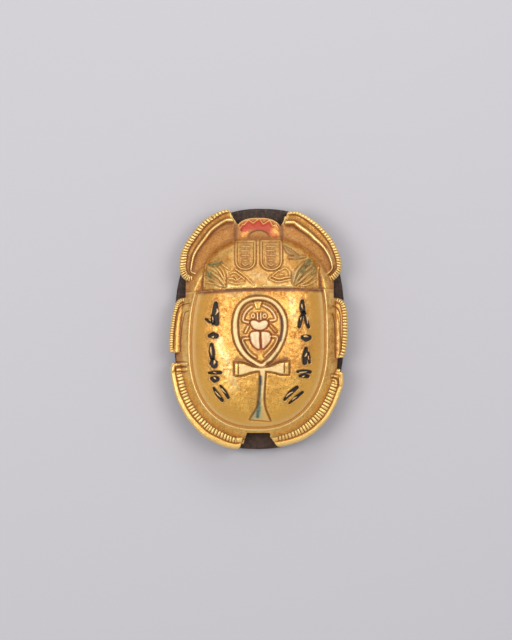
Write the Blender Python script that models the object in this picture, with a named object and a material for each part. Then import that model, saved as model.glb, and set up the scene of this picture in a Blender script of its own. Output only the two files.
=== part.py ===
# Gilt scarab with a raised ankh on its wing cases, on a dark oval plate
# Metres, +Z up, head towards +Y, lying on the plate's flat underside at z = 0
import bpy
import bmesh
from math import cos, hypot, pi, sin
from mathutils import Vector

# Plate
plate_length = 0.121
plate_width = 0.0856
plate_thick = 0.008
plate_edge_round = 0.0014
plate_squareness = {"front_left": 2.35, "front_right": 2.6, "hind_left": 2.7, "hind_right": 2.3}
plate_shift = 0.0005

# Beetle on the plate
seat_gap = 0.0003
end_set_back = 0.0003
side_overhang = 0.0022
back_height = 0.0254
leg_height = 0.0096
web_height = 0.0043
wall_height = 0.0126
head_height = 0.0122

# Carving
rim_raise = 0.0011
step_drop = 0.0013
ankh_raise = 0.0010
emblem_raise = 0.0009
frame_raise = 0.0008
rib_raise = 0.0008
stroke_depth = 0.0006
stroke_width = 0.0011
front_ribs = 24
middle_ribs = 15
hind_ribs = 26
fan_teeth = 7

# The free form keeps its proportions as shares of its own length and width
half_length = plate_length / 2 - end_set_back
half_width = plate_width / 2 + side_overhang
unit_x = half_width / 45
unit_y = half_length / 60.2


def clear_scene():
    for obj in list(bpy.data.objects):
        bpy.data.objects.remove(obj, do_unlink=True)


def at(x, y, h):
    """Point of the carving: x and y in units of about a millimetre, h in metres above the plate."""
    return Vector((x * unit_x, y * unit_y, plate_thick + h))


def oval(angle, reach_x, reach_y, square):
    c, s = cos(angle), sin(angle)
    return (reach_x * abs(c) ** (2 / square) * (1 if c >= 0 else -1),
            reach_y * abs(s) ** (2 / square) * (1 if s >= 0 else -1))


def oval_radius(x, y, reach_x, reach_y, square):
    return (abs(x / reach_x) ** square + abs(y / reach_y) ** square) ** (1 / square)


# Wing cases and thorax
case = {"y": -8.0, "reach": 34.3, "front": 50.0, "back": 42.25, "square": 2.4, "edge": 1.6}
thorax = {"x": 1.1, "y": 20.75, "reach": 29.0, "front": 24.3, "square": 2.4}


def case_reach_y(y):
    return case["front"] if y >= case["y"] else case["back"]


def case_height(x, y):
    """Height of the wing cases above the plate."""
    edge = case["edge"]
    r = oval_radius(x, y - case["y"], case["reach"] - edge, case_reach_y(y) - edge, case["square"])
    r = min(r, 1.0)
    crown = back_height - 0.3 * step_drop
    return wall_height + (crown - wall_height) * (1 - r ** 2.8) ** 0.5


def thorax_height(x, y):
    """Height of the thorax above the plate."""
    r = oval_radius(x - thorax["x"], y - thorax["y"], thorax["reach"], thorax["front"], thorax["square"])
    r = min(r, 1.0)
    return head_height + (back_height - head_height) * (1 - r ** 2.4) ** 0.55


def back_surface(x, y):
    return thorax_height(x, y) if y > thorax["y"] else case_height(x, y)


def mesh_object(name, bm, smooth=40):
    bmesh.ops.recalc_face_normals(bm, faces=bm.faces)
    mesh = bpy.data.meshes.new(name)
    bm.to_mesh(mesh)
    bm.free()
    mesh.shade_smooth()
    mesh.set_sharp_from_angle(angle=smooth * pi / 180)
    obj = bpy.data.objects.new(name, mesh)
    bpy.context.scene.collection.objects.link(obj)
    return obj


def add_rings(bm, rings, apex=None):
    """Closed body from rings of points, bottom ring first, closed by a fan or a flat lid."""
    loops = [[bm.verts.new(p) for p in ring] for ring in rings]
    count = len(loops[0])
    for low, high in zip(loops, loops[1:]):
        for i in range(count):
            j = (i + 1) % count
            bm.faces.new((low[i], low[j], high[j], high[i]))
    bm.faces.new(list(reversed(loops[0])))
    if apex is None:
        bm.faces.new(loops[-1])
    else:
        top = bm.verts.new(apex)
        for i in range(count):
            bm.faces.new((loops[-1][i], loops[-1][(i + 1) % count], top))


def even_run(points, count):
    """Points at even steps along a polyline, with the direction of travel at each."""
    lengths = [0.0]
    for a, b in zip(points, points[1:]):
        lengths.append(lengths[-1] + hypot(b[0] - a[0], b[1] - a[1]))
    run, k = [], 0
    for i in range(count):
        want = lengths[-1] * i / (count - 1)
        while k < len(points) - 2 and lengths[k + 1] < want:
            k += 1
        share = (want - lengths[k]) / (lengths[k + 1] - lengths[k])
        a, b = points[k], points[k + 1]
        run.append((a[0] + (b[0] - a[0]) * share, a[1] + (b[1] - a[1]) * share))
    heads = []
    for i in range(count):
        a, b = run[max(i - 1, 0)], run[min(i + 1, count - 1)]
        d = hypot(b[0] - a[0], b[1] - a[1])
        heads.append(((b[0] - a[0]) / d, (b[1] - a[1]) / d))
    return list(zip(run, heads))


def smooth_path(knots, steps=6, closed=False):
    """Smooth curve through a few knots."""
    n = len(knots)
    out = []
    for i in range(n if closed else n - 1):
        p = [knots[(i + k) % n] if closed else knots[min(max(i + k, 0), n - 1)] for k in (-1, 0, 1, 2)]
        for s in range(steps):
            t = s / steps
            out.append(tuple(0.5 * (2 * p[1][c] + (p[2][c] - p[0][c]) * t
                                    + (2 * p[0][c] - 5 * p[1][c] + 4 * p[2][c] - p[3][c]) * t * t
                                    + (3 * p[1][c] - p[0][c] - 3 * p[2][c] + p[3][c]) * t ** 3)
                             for c in (0, 1)))
    if not closed:
        out.append(tuple(knots[-1]))
    return out


def add_band(bm, path, width, lift, sink, surface=back_surface, closed=False, plain=False):
    """Raised band along a path, draped on the back; width may be a function of the share along it."""
    n = len(path)
    sections = []
    for i, (x, y) in enumerate(path):
        a = path[(i - 1) % n] if closed else path[max(i - 1, 0)]
        b = path[(i + 1) % n] if closed else path[min(i + 1, n - 1)]
        d = hypot(b[0] - a[0], b[1] - a[1])
        nx, ny = -(b[1] - a[1]) / d, (b[0] - a[0]) / d
        w = (width(i / (n - 1)) if callable(width) else width) / 2
        ring = []
        edge = ((w, -sink), (0.55 * w, lift)) if plain else ((w, -sink), (w, 0.35 * lift), (0.6 * w, lift))
        for side, h in edge + tuple((-side, h) for side, h in reversed(edge)):
            px, py = x + nx * side, y + ny * side
            ring.append(bm.verts.new(at(px, py, surface(px, py) + h)))
        sections.append(ring)
    k = len(sections[0])
    for i in range(n if closed else n - 1):
        one, two = sections[i], sections[(i + 1) % n]
        for j in range(k):
            bm.faces.new((one[j], one[(j + 1) % k], two[(j + 1) % k], two[j]))
    if not closed:
        bm.faces.new(sections[0])
        bm.faces.new(list(reversed(sections[-1])))


def add_blob(bm, cx, cy, reach_x, reach_y, lift, sink, sides=14, square=2.0, surface=back_surface,
             dent=0.0, dent_at=pi / 2):
    """Low rounded form on the back, with an optional dent in one side of its outline."""
    rings = []
    for scale, h in ((1.0, -sink), (1.0, 0.4 * lift), (0.72, 0.88 * lift)):
        ring = []
        for i in range(sides):
            angle = 2 * pi * i / sides
            ox, oy = oval(angle, reach_x * scale, reach_y * scale, square)
            near = abs((angle - dent_at + pi) % (2 * pi) - pi)
            oy -= dent * scale * max(0.0, 1 - near / 0.75)
            ring.append(at(cx + ox, cy + oy, surface(cx + ox, cy + oy) + h))
        rings.append(ring)
    add_rings(bm, rings, at(cx, cy - dent * 0.3, surface(cx, cy) + lift))


# Legs
leg_foot = 0.3
front_section = [(0, leg_foot), (0, 7.4), (0.6, 8.3), (3.5, 8.9), (4.2, 7.9), (6.2, 9.6), (8.0, 8.6),
                 (8.6, leg_foot)]
middle_section = [(0, leg_foot), (0, 7.0), (0.6, 7.8), (2.7, 8.3), (3.3, 7.4), (4.9, 8.8), (6.3, 7.5),
                  (9.9, 8.2), (9.9, leg_foot)]
hind_section = [(0, leg_foot), (0, 7.9), (0.9, 9.0), (2.5, 8.7), (3.2, 7.9), (6.6, 8.3), (7.3, leg_foot)]
legs = [
    {"kind": "front",
     "edge": [(-14.2, 59.6), (-17.4, 59.6), (-21.6, 58.0), (-26.0, 55.4), (-29.6, 52.3), (-34.4, 46.3),
              (-37.1, 42.2), (-38.7, 38.5), (-39.5, 34.0), (-39.8, 30.5), (-39.2, 26.4)]},
    {"kind": "front",
     "edge": [(14.3, 58.6), (19.0, 58.9), (22.8, 57.4), (26.4, 55.2), (30.5, 52.2), (34.4, 48.2),
              (37.2, 44.5), (39.5, 40.0), (41.2, 35.5), (41.7, 31.5), (41.0, 26.6)]},
    {"kind": "middle",
     "edge": [(-40.6, 14.9), (-41.5, 12.5), (-42.6, 8.5), (-43.6, 4.0), (-44.5, -0.5), (-44.9, -4.5),
              (-45.0, -8.5), (-44.7, -11.8)]},
    {"kind": "middle",
     "edge": [(42.2, 14.4), (43.6, 11.2), (44.3, 8.0), (44.8, 3.5), (45.0, -1.5), (44.8, -6.5),
              (44.0, -10.5), (43.0, -14.8)]},
    {"kind": "hind",
     "edge": [(-8.9, -60.0), (-11.8, -60.1), (-16.2, -59.3), (-22.2, -56.8), (-27.8, -53.5), (-32.2, -49.2),
              (-36.2, -44.2), (-39.5, -38.2), (-41.8, -32.5), (-43.1, -27.0), (-43.9, -22.6), (-44.0, -19.4),
              (-43.7, -16.8)]},
    {"kind": "hind",
     "edge": [(9.2, -59.2), (12.9, -58.6), (17.8, -57.3), (22.4, -55.5), (27.3, -52.5), (30.7, -49.5),
              (33.6, -46.5), (35.8, -43.4), (38.6, -38.4), (40.7, -33.2), (42.2, -28.7), (42.6, -25.9),
              (42.4, -21.4)]},
]


def add_leg(bm, leg):
    kind = leg["kind"]
    section = {"front": front_section, "middle": middle_section, "hind": hind_section}[kind]
    ribs = {"front": front_ribs, "middle": middle_ribs, "hind": hind_ribs}[kind]
    strip = {"front": 2, "middle": 2, "hind": 4}[kind]
    run = even_run(smooth_path(leg["edge"]), ribs + 1)
    top = max(h for _, h in section)
    rings = []
    for i, ((x, y), (tx, ty)) in enumerate(run):
        nx, ny = -ty, tx
        if nx * x + ny * y > 0:
            nx, ny = -nx, -ny
        share = i / ribs
        fade = 1 - 0.12 * max(0.0, 1 - min(share, 1 - share) / 0.06)
        ring = []
        for d, h in section:
            if h > leg_foot:
                h = leg_foot + (leg_height * 1000 - leg_foot) * (h - leg_foot) / (top - leg_foot) * fade
            z = h / 1000 if h > leg_foot else seat_gap
            ring.append(bm.verts.new(at(x + nx * d, y + ny * d, z)))
        rings.append(ring)
    k = len(section)
    pads = []
    for one, two in zip(rings, rings[1:]):
        for j in range(k):
            face = bm.faces.new((one[j], one[(j + 1) % k], two[(j + 1) % k], two[j]))
            if j == strip:
                pads.append(face)
    bm.faces.new(rings[0])
    bm.faces.new(list(reversed(rings[-1])))
    bm.normal_update()
    if sum(f.normal.z for f in pads) < 0:
        for f in bm.faces:
            if any(v in f.verts for ring in rings for v in ring):
                f.normal_flip()
    bmesh.ops.inset_individual(bm, faces=pads, thickness=0.00026, depth=rib_raise, use_even_offset=True)


def build_plate():
    bm = bmesh.new()
    rings = []
    r = plate_edge_round
    for inset, z in ((0.6 * r, 0.0), (0.0, 0.6 * r), (0.0, plate_thick - r),
                     (0.3 * r, plate_thick - 0.3 * r), (r, plate_thick)):
        ring = []
        for i in range(72):
            angle = 2 * pi * i / 72
            quarter = ("front" if sin(angle) >= 0 else "hind") + ("_right" if cos(angle) >= 0 else "_left")
            x, y = oval(angle, plate_width / 2 - inset, plate_length / 2 - inset, plate_squareness[quarter])
            ring.append((x + plate_shift, y, z))
        rings.append(ring)
    add_rings(bm, rings)
    return mesh_object("base", bm)


def build_body():
    """Wall, thin rim bead, groove and domed wing cases, up to the step under the thorax."""
    bm = bmesh.new()
    sides = 52
    edge = case["edge"]
    rings = []
    outer = ((2.6, web_height / 2), (2.2, wall_height * 0.9), (1.5, wall_height),
             (0.8, wall_height + 0.00005), (0.55, wall_height + 0.7 * rim_raise),
             (0.0, wall_height + rim_raise), (-0.6, wall_height + 0.6 * rim_raise),
             (-edge + 0.35, wall_height - 0.0002))
    for grow, h in outer:
        ring = []
        for i in range(sides):
            angle = 2 * pi * i / sides
            reach_y = case["front"] if sin(angle) >= 0 else case["back"]
            x, y = oval(angle, case["reach"] + grow, reach_y + grow, case["square"])
            ring.append(at(x, case["y"] + y, h))
        rings.append(ring)
    for scale in (1.0, 0.975, 0.93, 0.86, 0.75, 0.6, 0.4, 0.2):
        ring = []
        for i in range(sides):
            angle = 2 * pi * i / sides
            reach_y = case["front"] if sin(angle) >= 0 else case["back"]
            x, y = oval(angle, (case["reach"] - edge) * scale, (reach_y - edge) * scale, case["square"])
            ring.append(at(x, case["y"] + y, case_height(x, case["y"] + y)))
        rings.append(ring)
    add_rings(bm, rings, at(0, case["y"], case_height(0, case["y"])))
    return mesh_object("beetle", bm)


def build_step_cutter():
    """Clears the wing cases ahead of the straight step."""
    bm = bmesh.new()
    y0, y1 = thorax["y"], thorax["y"] + 60
    low = [at(x, y, wall_height * 0.86) for x, y in ((-60, y0), (60, y0), (60, y1), (-60, y1))]
    high = [at(x, y, back_height + 0.01) for x, y in ((-60, y0), (60, y0), (60, y1), (-60, y1))]
    add_rings(bm, [low, high])
    return mesh_object("step_cut", bm)


def build_thorax():
    """Half dome ahead of the step, highest at the step's middle."""
    bm = bmesh.new()
    sides = 32
    rings = []
    edge_h = thorax_height(thorax["x"] + thorax["reach"], thorax["y"])
    back_y = -0.6
    for scale, h in ((1.0, web_height / 2), (1.0, None), (0.95, None), (0.86, None), (0.7, None),
                     (0.42, None)):
        ring = []
        for i in range(sides + 1):
            angle = pi * i / sides
            x, y = oval(angle, thorax["reach"] * scale, thorax["front"] * scale, thorax["square"])
            px, py = thorax["x"] + x, thorax["y"] + y
            ring.append(at(px, py, edge_h if h is None and scale == 1.0 else
                           (h if h is not None else thorax_height(px, py))))
        back = []
        for i in range(1, 8):
            px = thorax["x"] - thorax["reach"] * scale * (1 - i / 4)
            z = h if h is not None else (edge_h if scale == 1.0 else thorax_height(px, thorax["y"]))
            back.append(at(px, thorax["y"] + back_y * (2 - scale), z if scale < 1 else min(z, edge_h)))
        rings.append(ring + back)
    add_rings(bm, rings, at(thorax["x"], thorax["y"] + back_y, thorax_height(thorax["x"], thorax["y"])))
    return mesh_object("thorax", bm)


def build_web():
    """Low floor between the legs and the body, narrower in the gaps ahead of the middle legs."""
    bm = bmesh.new()
    low, high = [], []
    for i in range(60):
        x, y = oval(2 * pi * i / 60, 39.6, 52.0, 3.0)
        if 14.0 < y < 26.0:
            x = max(-36.4, min(37.4, x))
        low.append(at(x, y, 0.0008))
        high.append(at(x, y, web_height))
    add_rings(bm, [low, high])
    return mesh_object("web", bm)


def build_legs():
    bm = bmesh.new()
    for leg in legs:
        part = bmesh.new()
        add_leg(part, leg)
        mesh = bpy.data.meshes.new("leg")
        part.to_mesh(mesh)
        part.free()
        bm.from_mesh(mesh)
        bpy.data.meshes.remove(mesh)
    return mesh_object("legs", bm)


def build_fan():
    """Toothed shovel of the head, sloping down to its front edge."""
    bm = bmesh.new()
    reach_x, reach_y, root = 11.6, 11.3, 45.0
    edge = [(0.6 + 0.97 * reach_x, root)]
    for i in range(2 * fan_teeth + 1):
        angle = pi * (0.14 + 0.72 * i / (2 * fan_teeth))
        grow = 1.0 if i % 2 else 0.90
        edge.append((0.6 + reach_x * grow * cos(angle), root + reach_y * grow * sin(angle)))
    edge.append((0.6 - 0.97 * reach_x, root))
    low, high = [], []
    for x, y in edge:
        slope = (y - root) / reach_y
        low.append(at(x, y, 0.4 * web_height))
        high.append(at(x, y, head_height + (web_height + 0.0012 - head_height) * slope))
    add_rings(bm, [low, high])
    return mesh_object("fan", bm)


def build_head():
    bm = bmesh.new()

    def flat(x, y):
        return head_height - 0.0009

    add_blob(bm, 0.3, 44.6, 5.6, 5.0, 0.0016, 0.005, sides=16, surface=flat)
    return mesh_object("head", bm)


# Ankh
loop_knots = [(1.3, -18.6), (-2.6, -16.4), (-7.4, -12.2), (-10.7, -6.4), (-11.8, 1.0), (-10.3, 9.8),
              (-5.0, 14.7), (0.3, 15.6), (6.2, 14.3), (11.1, 9.5), (13.3, 2.4), (12.3, -4.6), (9.0, -11.2),
              (4.6, -16.4)]


def build_ankh_loop():
    bm = bmesh.new()
    path = smooth_path(loop_knots, steps=3, closed=True)
    add_band(bm, path, 2.3, ankh_raise, 0.0016, closed=True, plain=True)
    return mesh_object("ankh_loop", bm)


def build_ankh_bar():
    bm = bmesh.new()
    path = [(-12.2 + 28.0 * i / 14, -19.6 + 0.1 * i / 14) for i in range(15)]
    add_band(bm, path, lambda s: 1.9 + 4.6 * abs(2 * s - 1) ** 1.8, 0.9 * ankh_raise, 0.0018)
    return mesh_object("ankh_bar", bm)


def build_ankh_stem():
    bm = bmesh.new()
    path = [(2.2 - 0.6 * i / 9, -18.6 - 26.9 * i / 9) for i in range(10)]
    add_band(bm, path, lambda s: 2.3 + 8.0 * s ** 2.6, 1.15 * ankh_raise, 0.0020)
    return mesh_object("ankh_stem", bm)


def build_emblem():
    """Small beetle inside the ankh's loop."""
    bm = bmesh.new()
    lift, sink = emblem_raise, 0.0012
    add_blob(bm, 0.2, 2.2, 4.6, 2.6, lift, sink, sides=16, dent=1.0)
    add_blob(bm, -1.9, -5.4, 2.3, 4.6, lift, sink, sides=12)
    add_blob(bm, 3.5, -5.5, 2.4, 4.6, lift, sink, sides=12)
    add_blob(bm, -2.8, 6.6, 1.0, 1.1, 0.8 * lift, sink, sides=8)
    add_blob(bm, 3.3, 6.6, 1.0, 1.1, 0.8 * lift, sink, sides=8)
    add_blob(bm, 0.1, 11.6, 2.2, 1.7, 0.6 * lift, sink, sides=8)
    for x in (-0.7, 1.2):
        add_band(bm, [(x, 8.0), (x + 0.2, 5.1)], 0.9, 0.7 * lift, sink, plain=True)
    for knots in (((-3.6, 11.0), (-6.4, 7.9), (-7.3, 4.7), (-5.5, 3.1)),
                  ((3.2, 11.3), (6.2, 9.4), (8.1, 5.6), (6.2, 4.2)),
                  ((-5.2, 1.0), (-6.6, -1.6)), ((5.7, 1.0), (7.9, -1.4)),
                  ((-4.9, -4.3), (-7.5, -4.8), (-5.3, -9.8), (-2.1, -12.3)),
                  ((6.5, -3.6), (8.6, -4.5), (7.5, -8.6), (3.5, -12.4))):
        add_band(bm, smooth_path(knots, steps=2), 1.1, 0.7 * lift, sink, plain=True)
    return mesh_object("emblem", bm)


def build_thorax_relief():
    """Two upright frames, two eye motifs and two open flower fans."""
    bm = bmesh.new()
    lift, sink = frame_raise, 0.0012
    for cx in (-6.2, 6.6):
        half, top, low = 4.3, 42.2, 34.4
        path = [(cx - half, top), (cx - half, 0.5 * (top + low))]
        path += [(cx + oval(pi + pi * i / 6, half, 5.0, 2)[0], low + oval(pi + pi * i / 6, half, 5.0, 2)[1])
                 for i in range(7)]
        path += [(cx + half, 0.5 * (top + low)), (cx + half, top)]
        add_band(bm, path, 1.3, lift, sink, closed=True, plain=True)
        for k in range(3):
            y = 39.6 - 3.4 * k
            add_band(bm, [(cx - 2.0, y), (cx + 2.0, y - 0.3)], 1.0, 0.5 * lift, sink, plain=True)
    for side in (-1, 1):
        brow = [(side * 15.6, 27.2), (side * 12.2, 28.8), (side * 6.4, 26.2)]
        lid = [(side * 15.4, 24.9), (side * 12.0, 25.3), (side * 6.8, 24.0)]
        for path in (brow, lid):
            add_band(bm, smooth_path([(x + 0.9, y) for x, y in path], steps=2), 1.1, 0.6 * lift, sink,
                     plain=True)
        hub = (side * 21.2 + 0.9, 24.6)
        for k in range(5):
            angle = pi / 2 - side * (k - 1.5) * 0.42
            reach = 8.8 - 1.1 * k
            path = [(hub[0] + d * cos(angle), hub[1] + d * sin(angle)) for d in (3.0, reach)]
            add_band(bm, path, lambda s: 1.0 + 1.4 * s, 0.7 * lift, sink, plain=True)
    return mesh_object("thorax_relief", bm)


def build_strokes():
    """Shallow cut strokes in rows down both wing cases."""
    bm = bmesh.new()
    rows = []
    for side in (-1, 1):
        x = side * 22.4 + 0.6
        rows += [[(x - 2.6, 12.0), (x - 2.9, 3.0)], [(x + 0.2, 13.0), (x + 0.1, 2.4)],
                 [(x + 2.9, 12.0), (x + 2.7, 3.0)],
                 [(x - 2.6, -2.9), (x + 2.0, -3.3)],
                 [(x - 1.8, -8.2), (x - 2.2, -17.2)], [(x + 1.6, -8.0), (x + 1.4, -17.2)],
                 [(x - 3.4, -21.2), (x + 3.0, -21.4)], [(x - 2.2, -24.0), (x + 2.0, -24.2)]]
        rows += [[(side * 21.6 + 0.6, -28.2), (side * 16.6 + 0.6, -36.0)],
                 [(side * 18.0 + 0.6, -27.0), (side * 13.6 + 0.6, -34.6)]]
    reach = stroke_width * 500
    for (x0, y0), (x1, y1) in rows:
        d = hypot(x1 - x0, y1 - y0)
        nx, ny = -(y1 - y0) / d * reach, (x1 - x0) / d * reach
        stations = []
        spans = 2 if d > 6 else 1
        for i in range(spans + 1):
            x, y = x0 + (x1 - x0) * i / spans, y0 + (y1 - y0) * i / spans
            h = case_height(x, y)
            stations.append([bm.verts.new(at(x + nx * s, y + ny * s, h + z)) for s, z in
                             ((1.7, 0.0012), (0.4, -stroke_depth), (-0.4, -stroke_depth), (-1.7, 0.0012))])
        for one, two in zip(stations, stations[1:]):
            for j in range(4):
                bm.faces.new((one[j], one[(j + 1) % 4], two[(j + 1) % 4], two[j]))
        bm.faces.new(stations[0])
        bm.faces.new(list(reversed(stations[-1])))
    return mesh_object("strokes", bm)


def combine(target, other, operation):
    other.hide_render = True
    other.display_type = "WIRE"
    mod = target.modifiers.new(operation.lower() + "_" + other.name, "BOOLEAN")
    mod.operation = operation
    mod.solver = "EXACT"
    mod.object = other


def paint(obj, name, color, rough, metal):
    mat = bpy.data.materials.new(name)
    mat.use_nodes = True
    shader = mat.node_tree.nodes["Principled BSDF"]
    shader.inputs["Base Color"].default_value = (*color, 1)
    shader.inputs["Roughness"].default_value = rough
    shader.inputs["Metallic"].default_value = metal
    obj.data.materials.append(mat)


def build():
    clear_scene()
    plate = build_plate()
    paint(plate, "dark_speckled_paint", (0.075, 0.05, 0.038), 0.5, 0.0)
    beetle = build_body()
    beetle.name = "scarab"
    paint(beetle, "aged_gold_paint", (0.62, 0.37, 0.12), 0.42, 0.6)
    combine(beetle, build_step_cutter(), "DIFFERENCE")
    for piece in (build_thorax, build_web, build_legs, build_fan, build_head, build_ankh_loop,
                  build_ankh_bar, build_ankh_stem, build_emblem, build_thorax_relief):
        combine(beetle, piece(), "UNION")
    combine(beetle, build_strokes(), "DIFFERENCE")


build()
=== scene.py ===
from math import pi

import bmesh
import bpy
import numpy as np
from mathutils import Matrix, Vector


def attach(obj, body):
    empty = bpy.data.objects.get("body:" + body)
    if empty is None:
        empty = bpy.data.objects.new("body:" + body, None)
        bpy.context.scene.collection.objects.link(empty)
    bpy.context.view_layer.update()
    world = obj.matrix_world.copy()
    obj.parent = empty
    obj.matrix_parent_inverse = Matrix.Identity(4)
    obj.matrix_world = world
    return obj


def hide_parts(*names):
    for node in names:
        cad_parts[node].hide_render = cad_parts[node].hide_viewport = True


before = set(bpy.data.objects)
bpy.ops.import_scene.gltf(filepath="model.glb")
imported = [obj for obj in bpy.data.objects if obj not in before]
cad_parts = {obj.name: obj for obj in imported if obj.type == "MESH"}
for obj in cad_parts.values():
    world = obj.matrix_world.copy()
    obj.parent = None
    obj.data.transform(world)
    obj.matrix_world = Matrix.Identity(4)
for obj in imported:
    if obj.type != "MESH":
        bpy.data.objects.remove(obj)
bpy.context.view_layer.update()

mm = 0.001
plateTop = 8.0  # height of the dark plate; the carving's own heights are counted from it


# Small tools for the carving. x and y are in millimetres, heights in millimetres above the plate.

def smoothStep(low, high, value):
    t = np.clip((value - low) / (high - low), 0, 1)
    return t * t * (3 - 2 * t)


def bell(value):
    return np.exp(-value ** 2)


def ovalDistance(x, y, cx, cy, a, b, square):
    u, v = np.abs(x - cx) / a + 1e-6, np.abs(y - cy) / b + 1e-6
    f = (u ** square + v ** square) ** (1 / square)
    g = np.hypot(u ** (square - 1) / a, v ** (square - 1) / b) * f ** (1 - square)
    return (f - 1) / np.maximum(g, 1e-5)


def ovalPoint(angle, a, b, square):
    c, s = np.cos(angle), np.sin(angle)
    return np.stack([a * np.sign(c) * np.abs(c) ** (2 / square),
                     b * np.sign(s) * np.abs(s) ** (2 / square)], -1)


def curve(knots, steps=8, closed=False):
    k = np.array(knots, float)
    n = len(k)
    out = []
    for i in range(n if closed else n - 1):
        p = [k[(i + j) % n] if closed else k[min(max(i + j, 0), n - 1)] for j in (-1, 0, 1, 2)]
        for t in np.arange(steps) / steps:
            out.append(0.5 * (2 * p[1] + (p[2] - p[0]) * t + (2 * p[0] - 5 * p[1] + 4 * p[2] - p[3]) * t * t
                              + (3 * p[1] - p[0] - 3 * p[2] + p[3]) * t ** 3))
    out.append(out[0] if closed else k[-1])
    return np.array(out)


def spread(values, share):
    # values spaced evenly along a path, read at a share of its length
    return np.interp(share, np.linspace(0, 1, len(values)), values)


def nearPath(path, x, y):
    # distance, signed offset to the left of travel, run along the path and the path's length
    best = np.full(x.shape, 1e9)
    off, run = np.zeros(x.shape), np.zeros(x.shape)
    start = 0.0
    for (ax, ay), (bx, by) in zip(path[:-1], path[1:]):
        dx, dy = bx - ax, by - ay
        size = np.hypot(dx, dy)
        if size < 1e-9:
            continue
        t = np.clip(((x - ax) * dx + (y - ay) * dy) / size ** 2, 0, 1)
        d = np.hypot(x - ax - t * dx, y - ay - t * dy)
        hit = d < best
        best = np.where(hit, d, best)
        off = np.where(hit, np.where(dx * (y - ay) - dy * (x - ax) >= 0, d, -d), off)
        run = np.where(hit, start + t * size, run)
        start += size
    return best, off, run, start


def polygonDistance(points, x, y):
    p = np.array(points, float)
    d = nearPath(np.vstack([p, p[:1]]), x, y)[0]
    inside = np.zeros(x.shape, bool)
    for (ax, ay), (bx, by) in zip(p, np.roll(p, -1, 0)):
        if ay == by:
            continue
        inside ^= ((ay > y) != (by > y)) & (x < (bx - ax) * (y - ay) / (by - ay) + ax)
    return np.where(inside, -d, d)


def noise(x, y, size, seed):
    # smooth value noise, the same each run
    rng = np.random.default_rng(seed)
    table = rng.random((128, 128))
    u, v = x / size + 37.3, y / size + 51.7
    i, j = np.floor(u).astype(int), np.floor(v).astype(int)
    a, b = smoothStep(0, 1, u - i), smoothStep(0, 1, v - j)
    t = lambda p, q: table[p % 128, q % 128]
    return (t(i, j) * (1 - a) * (1 - b) + t(i + 1, j) * a * (1 - b)
            + t(i, j + 1) * (1 - a) * b + t(i + 1, j + 1) * a * b)


def blur(field, radius):
    # three box passes, close to a bell
    r = max(1, int(round(radius)))
    for _ in range(3):
        for axis in (0, 1):
            pad = [(0, 0), (0, 0)]
            pad[axis] = (r + 1, r)
            c = np.cumsum(np.pad(field, pad, mode="edge"), axis=axis)
            n = field.shape[axis]
            field = (np.take(c, np.arange(2 * r + 1, 2 * r + 1 + n), axis=axis)
                     - np.take(c, np.arange(n), axis=axis)) / (2 * r + 1)
    return field


def sample(field, x, y):
    u = np.clip((x - sheet["left"]) / pitch, 0, field.shape[1] - 1.001)
    v = np.clip((y - sheet["tail"]) / pitch, 0, field.shape[0] - 1.001)
    i, j = u.astype(int), v.astype(int)
    a, b = u - i, v - j
    return (field[j, i] * (1 - a) * (1 - b) + field[j, i + 1] * a * (1 - b)
            + field[j + 1, i] * (1 - a) * b + field[j + 1, i + 1] * a * b)


# The carving is one sheet of heights over the whole beetle
sheet = {"pitch": 0.22, "quickPitch": 0.4, "left": -45.6, "right": 45.6, "tail": -61, "head": 61}
pitch = sheet["pitch"]
gx, gy = np.meshgrid(np.arange(sheet["left"], sheet["right"], pitch),
                     np.arange(sheet["tail"], sheet["head"], pitch))
coverable = ("cream", "red", "dark", "green", "teal", "blue", "mint", "rust", "glint", "shine", "umberAndShade",
             "clayAndShade", "olive", "moss", "ivory")
paintNames = coverable + ("rubbedAndLitFlank", "light", "pad", "paintedLightPool")
paintMaps = {name: np.zeros(gx.shape) for name in paintNames}


def lay(paint, mask, at=...):
    paintMaps[paint][at] = np.maximum(paintMaps[paint][at], mask)


def cover(paint, mask, at):
    # lays a paint and takes the others off below it
    lay(paint, mask, at)
    for other in coverable:
        if other != paint:
            paintMaps[other][at] *= 1 - mask


def reachesAt(y):
    return np.where(y >= rim["y"], rim["front"], rim["back"])


def within(path, reach):
    p = np.array(path)
    return np.nonzero((gx > p[:, 0].min() - reach) & (gx < p[:, 0].max() + reach)
                      & (gy > p[:, 1].min() - reach) & (gy < p[:, 1].max() + reach))


body = {"wallHeight": 12.6, "wallSlope": 1.25, "webHeight": 4.3, "highest": 25.9}
rim = {"x": -0.2, "y": -8, "reach": 34.45, "front": 50, "back": 42.25, "squareLeft": 2.4,
       "squareRight": 2.26, "squareHeadRight": 3.4, "bead": 0.42, "beadRaise": 0.75, "groove": -0.85,
       "grooveWidth": 0.32, "grooveDepth": 0.12, "band": 0.5, "skirt": 2.6, "tailSkirt": 1.4}
wingCase = {"edge": 1.25, "crown": 24.75, "fall": 2.7, "round": 0.58}
thorax = {"x": 1.1, "y": 20.75, "reachLeft": 29, "reachRight": 29.6, "front": 24.3, "squareLeft": 2.35,
          "squareRight": 2.4, "low": 11.8, "top": 24.9, "fall": 2.4, "round": 0.55}


def stepLine(x):
    return thorax["y"] - 0.25 + 0.021 * (x - 1) - 0.0012 * (x - 1) ** 2


def rimSquare(x, y):
    right = np.where(y > rim["y"], rim["squareHeadRight"], rim["squareRight"])
    return np.where(x < rim["x"], rim["squareLeft"], right)


def caseHeight(x, y):
    e, n = wingCase["edge"], rimSquare(x, y)
    reachY = reachesAt(y) - e
    r = ((np.abs(x - rim["x"]) / (rim["reach"] - e)) ** n + (np.abs(y - rim["y"]) / reachY) ** n) ** (1 / n)
    dome = np.clip(1 - np.minimum(r, 1) ** wingCase["fall"], 0, 1) ** wingCase["round"]
    return body["wallHeight"] - 0.1 + (wingCase["crown"] - body["wallHeight"] + 0.1) * dome


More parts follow.
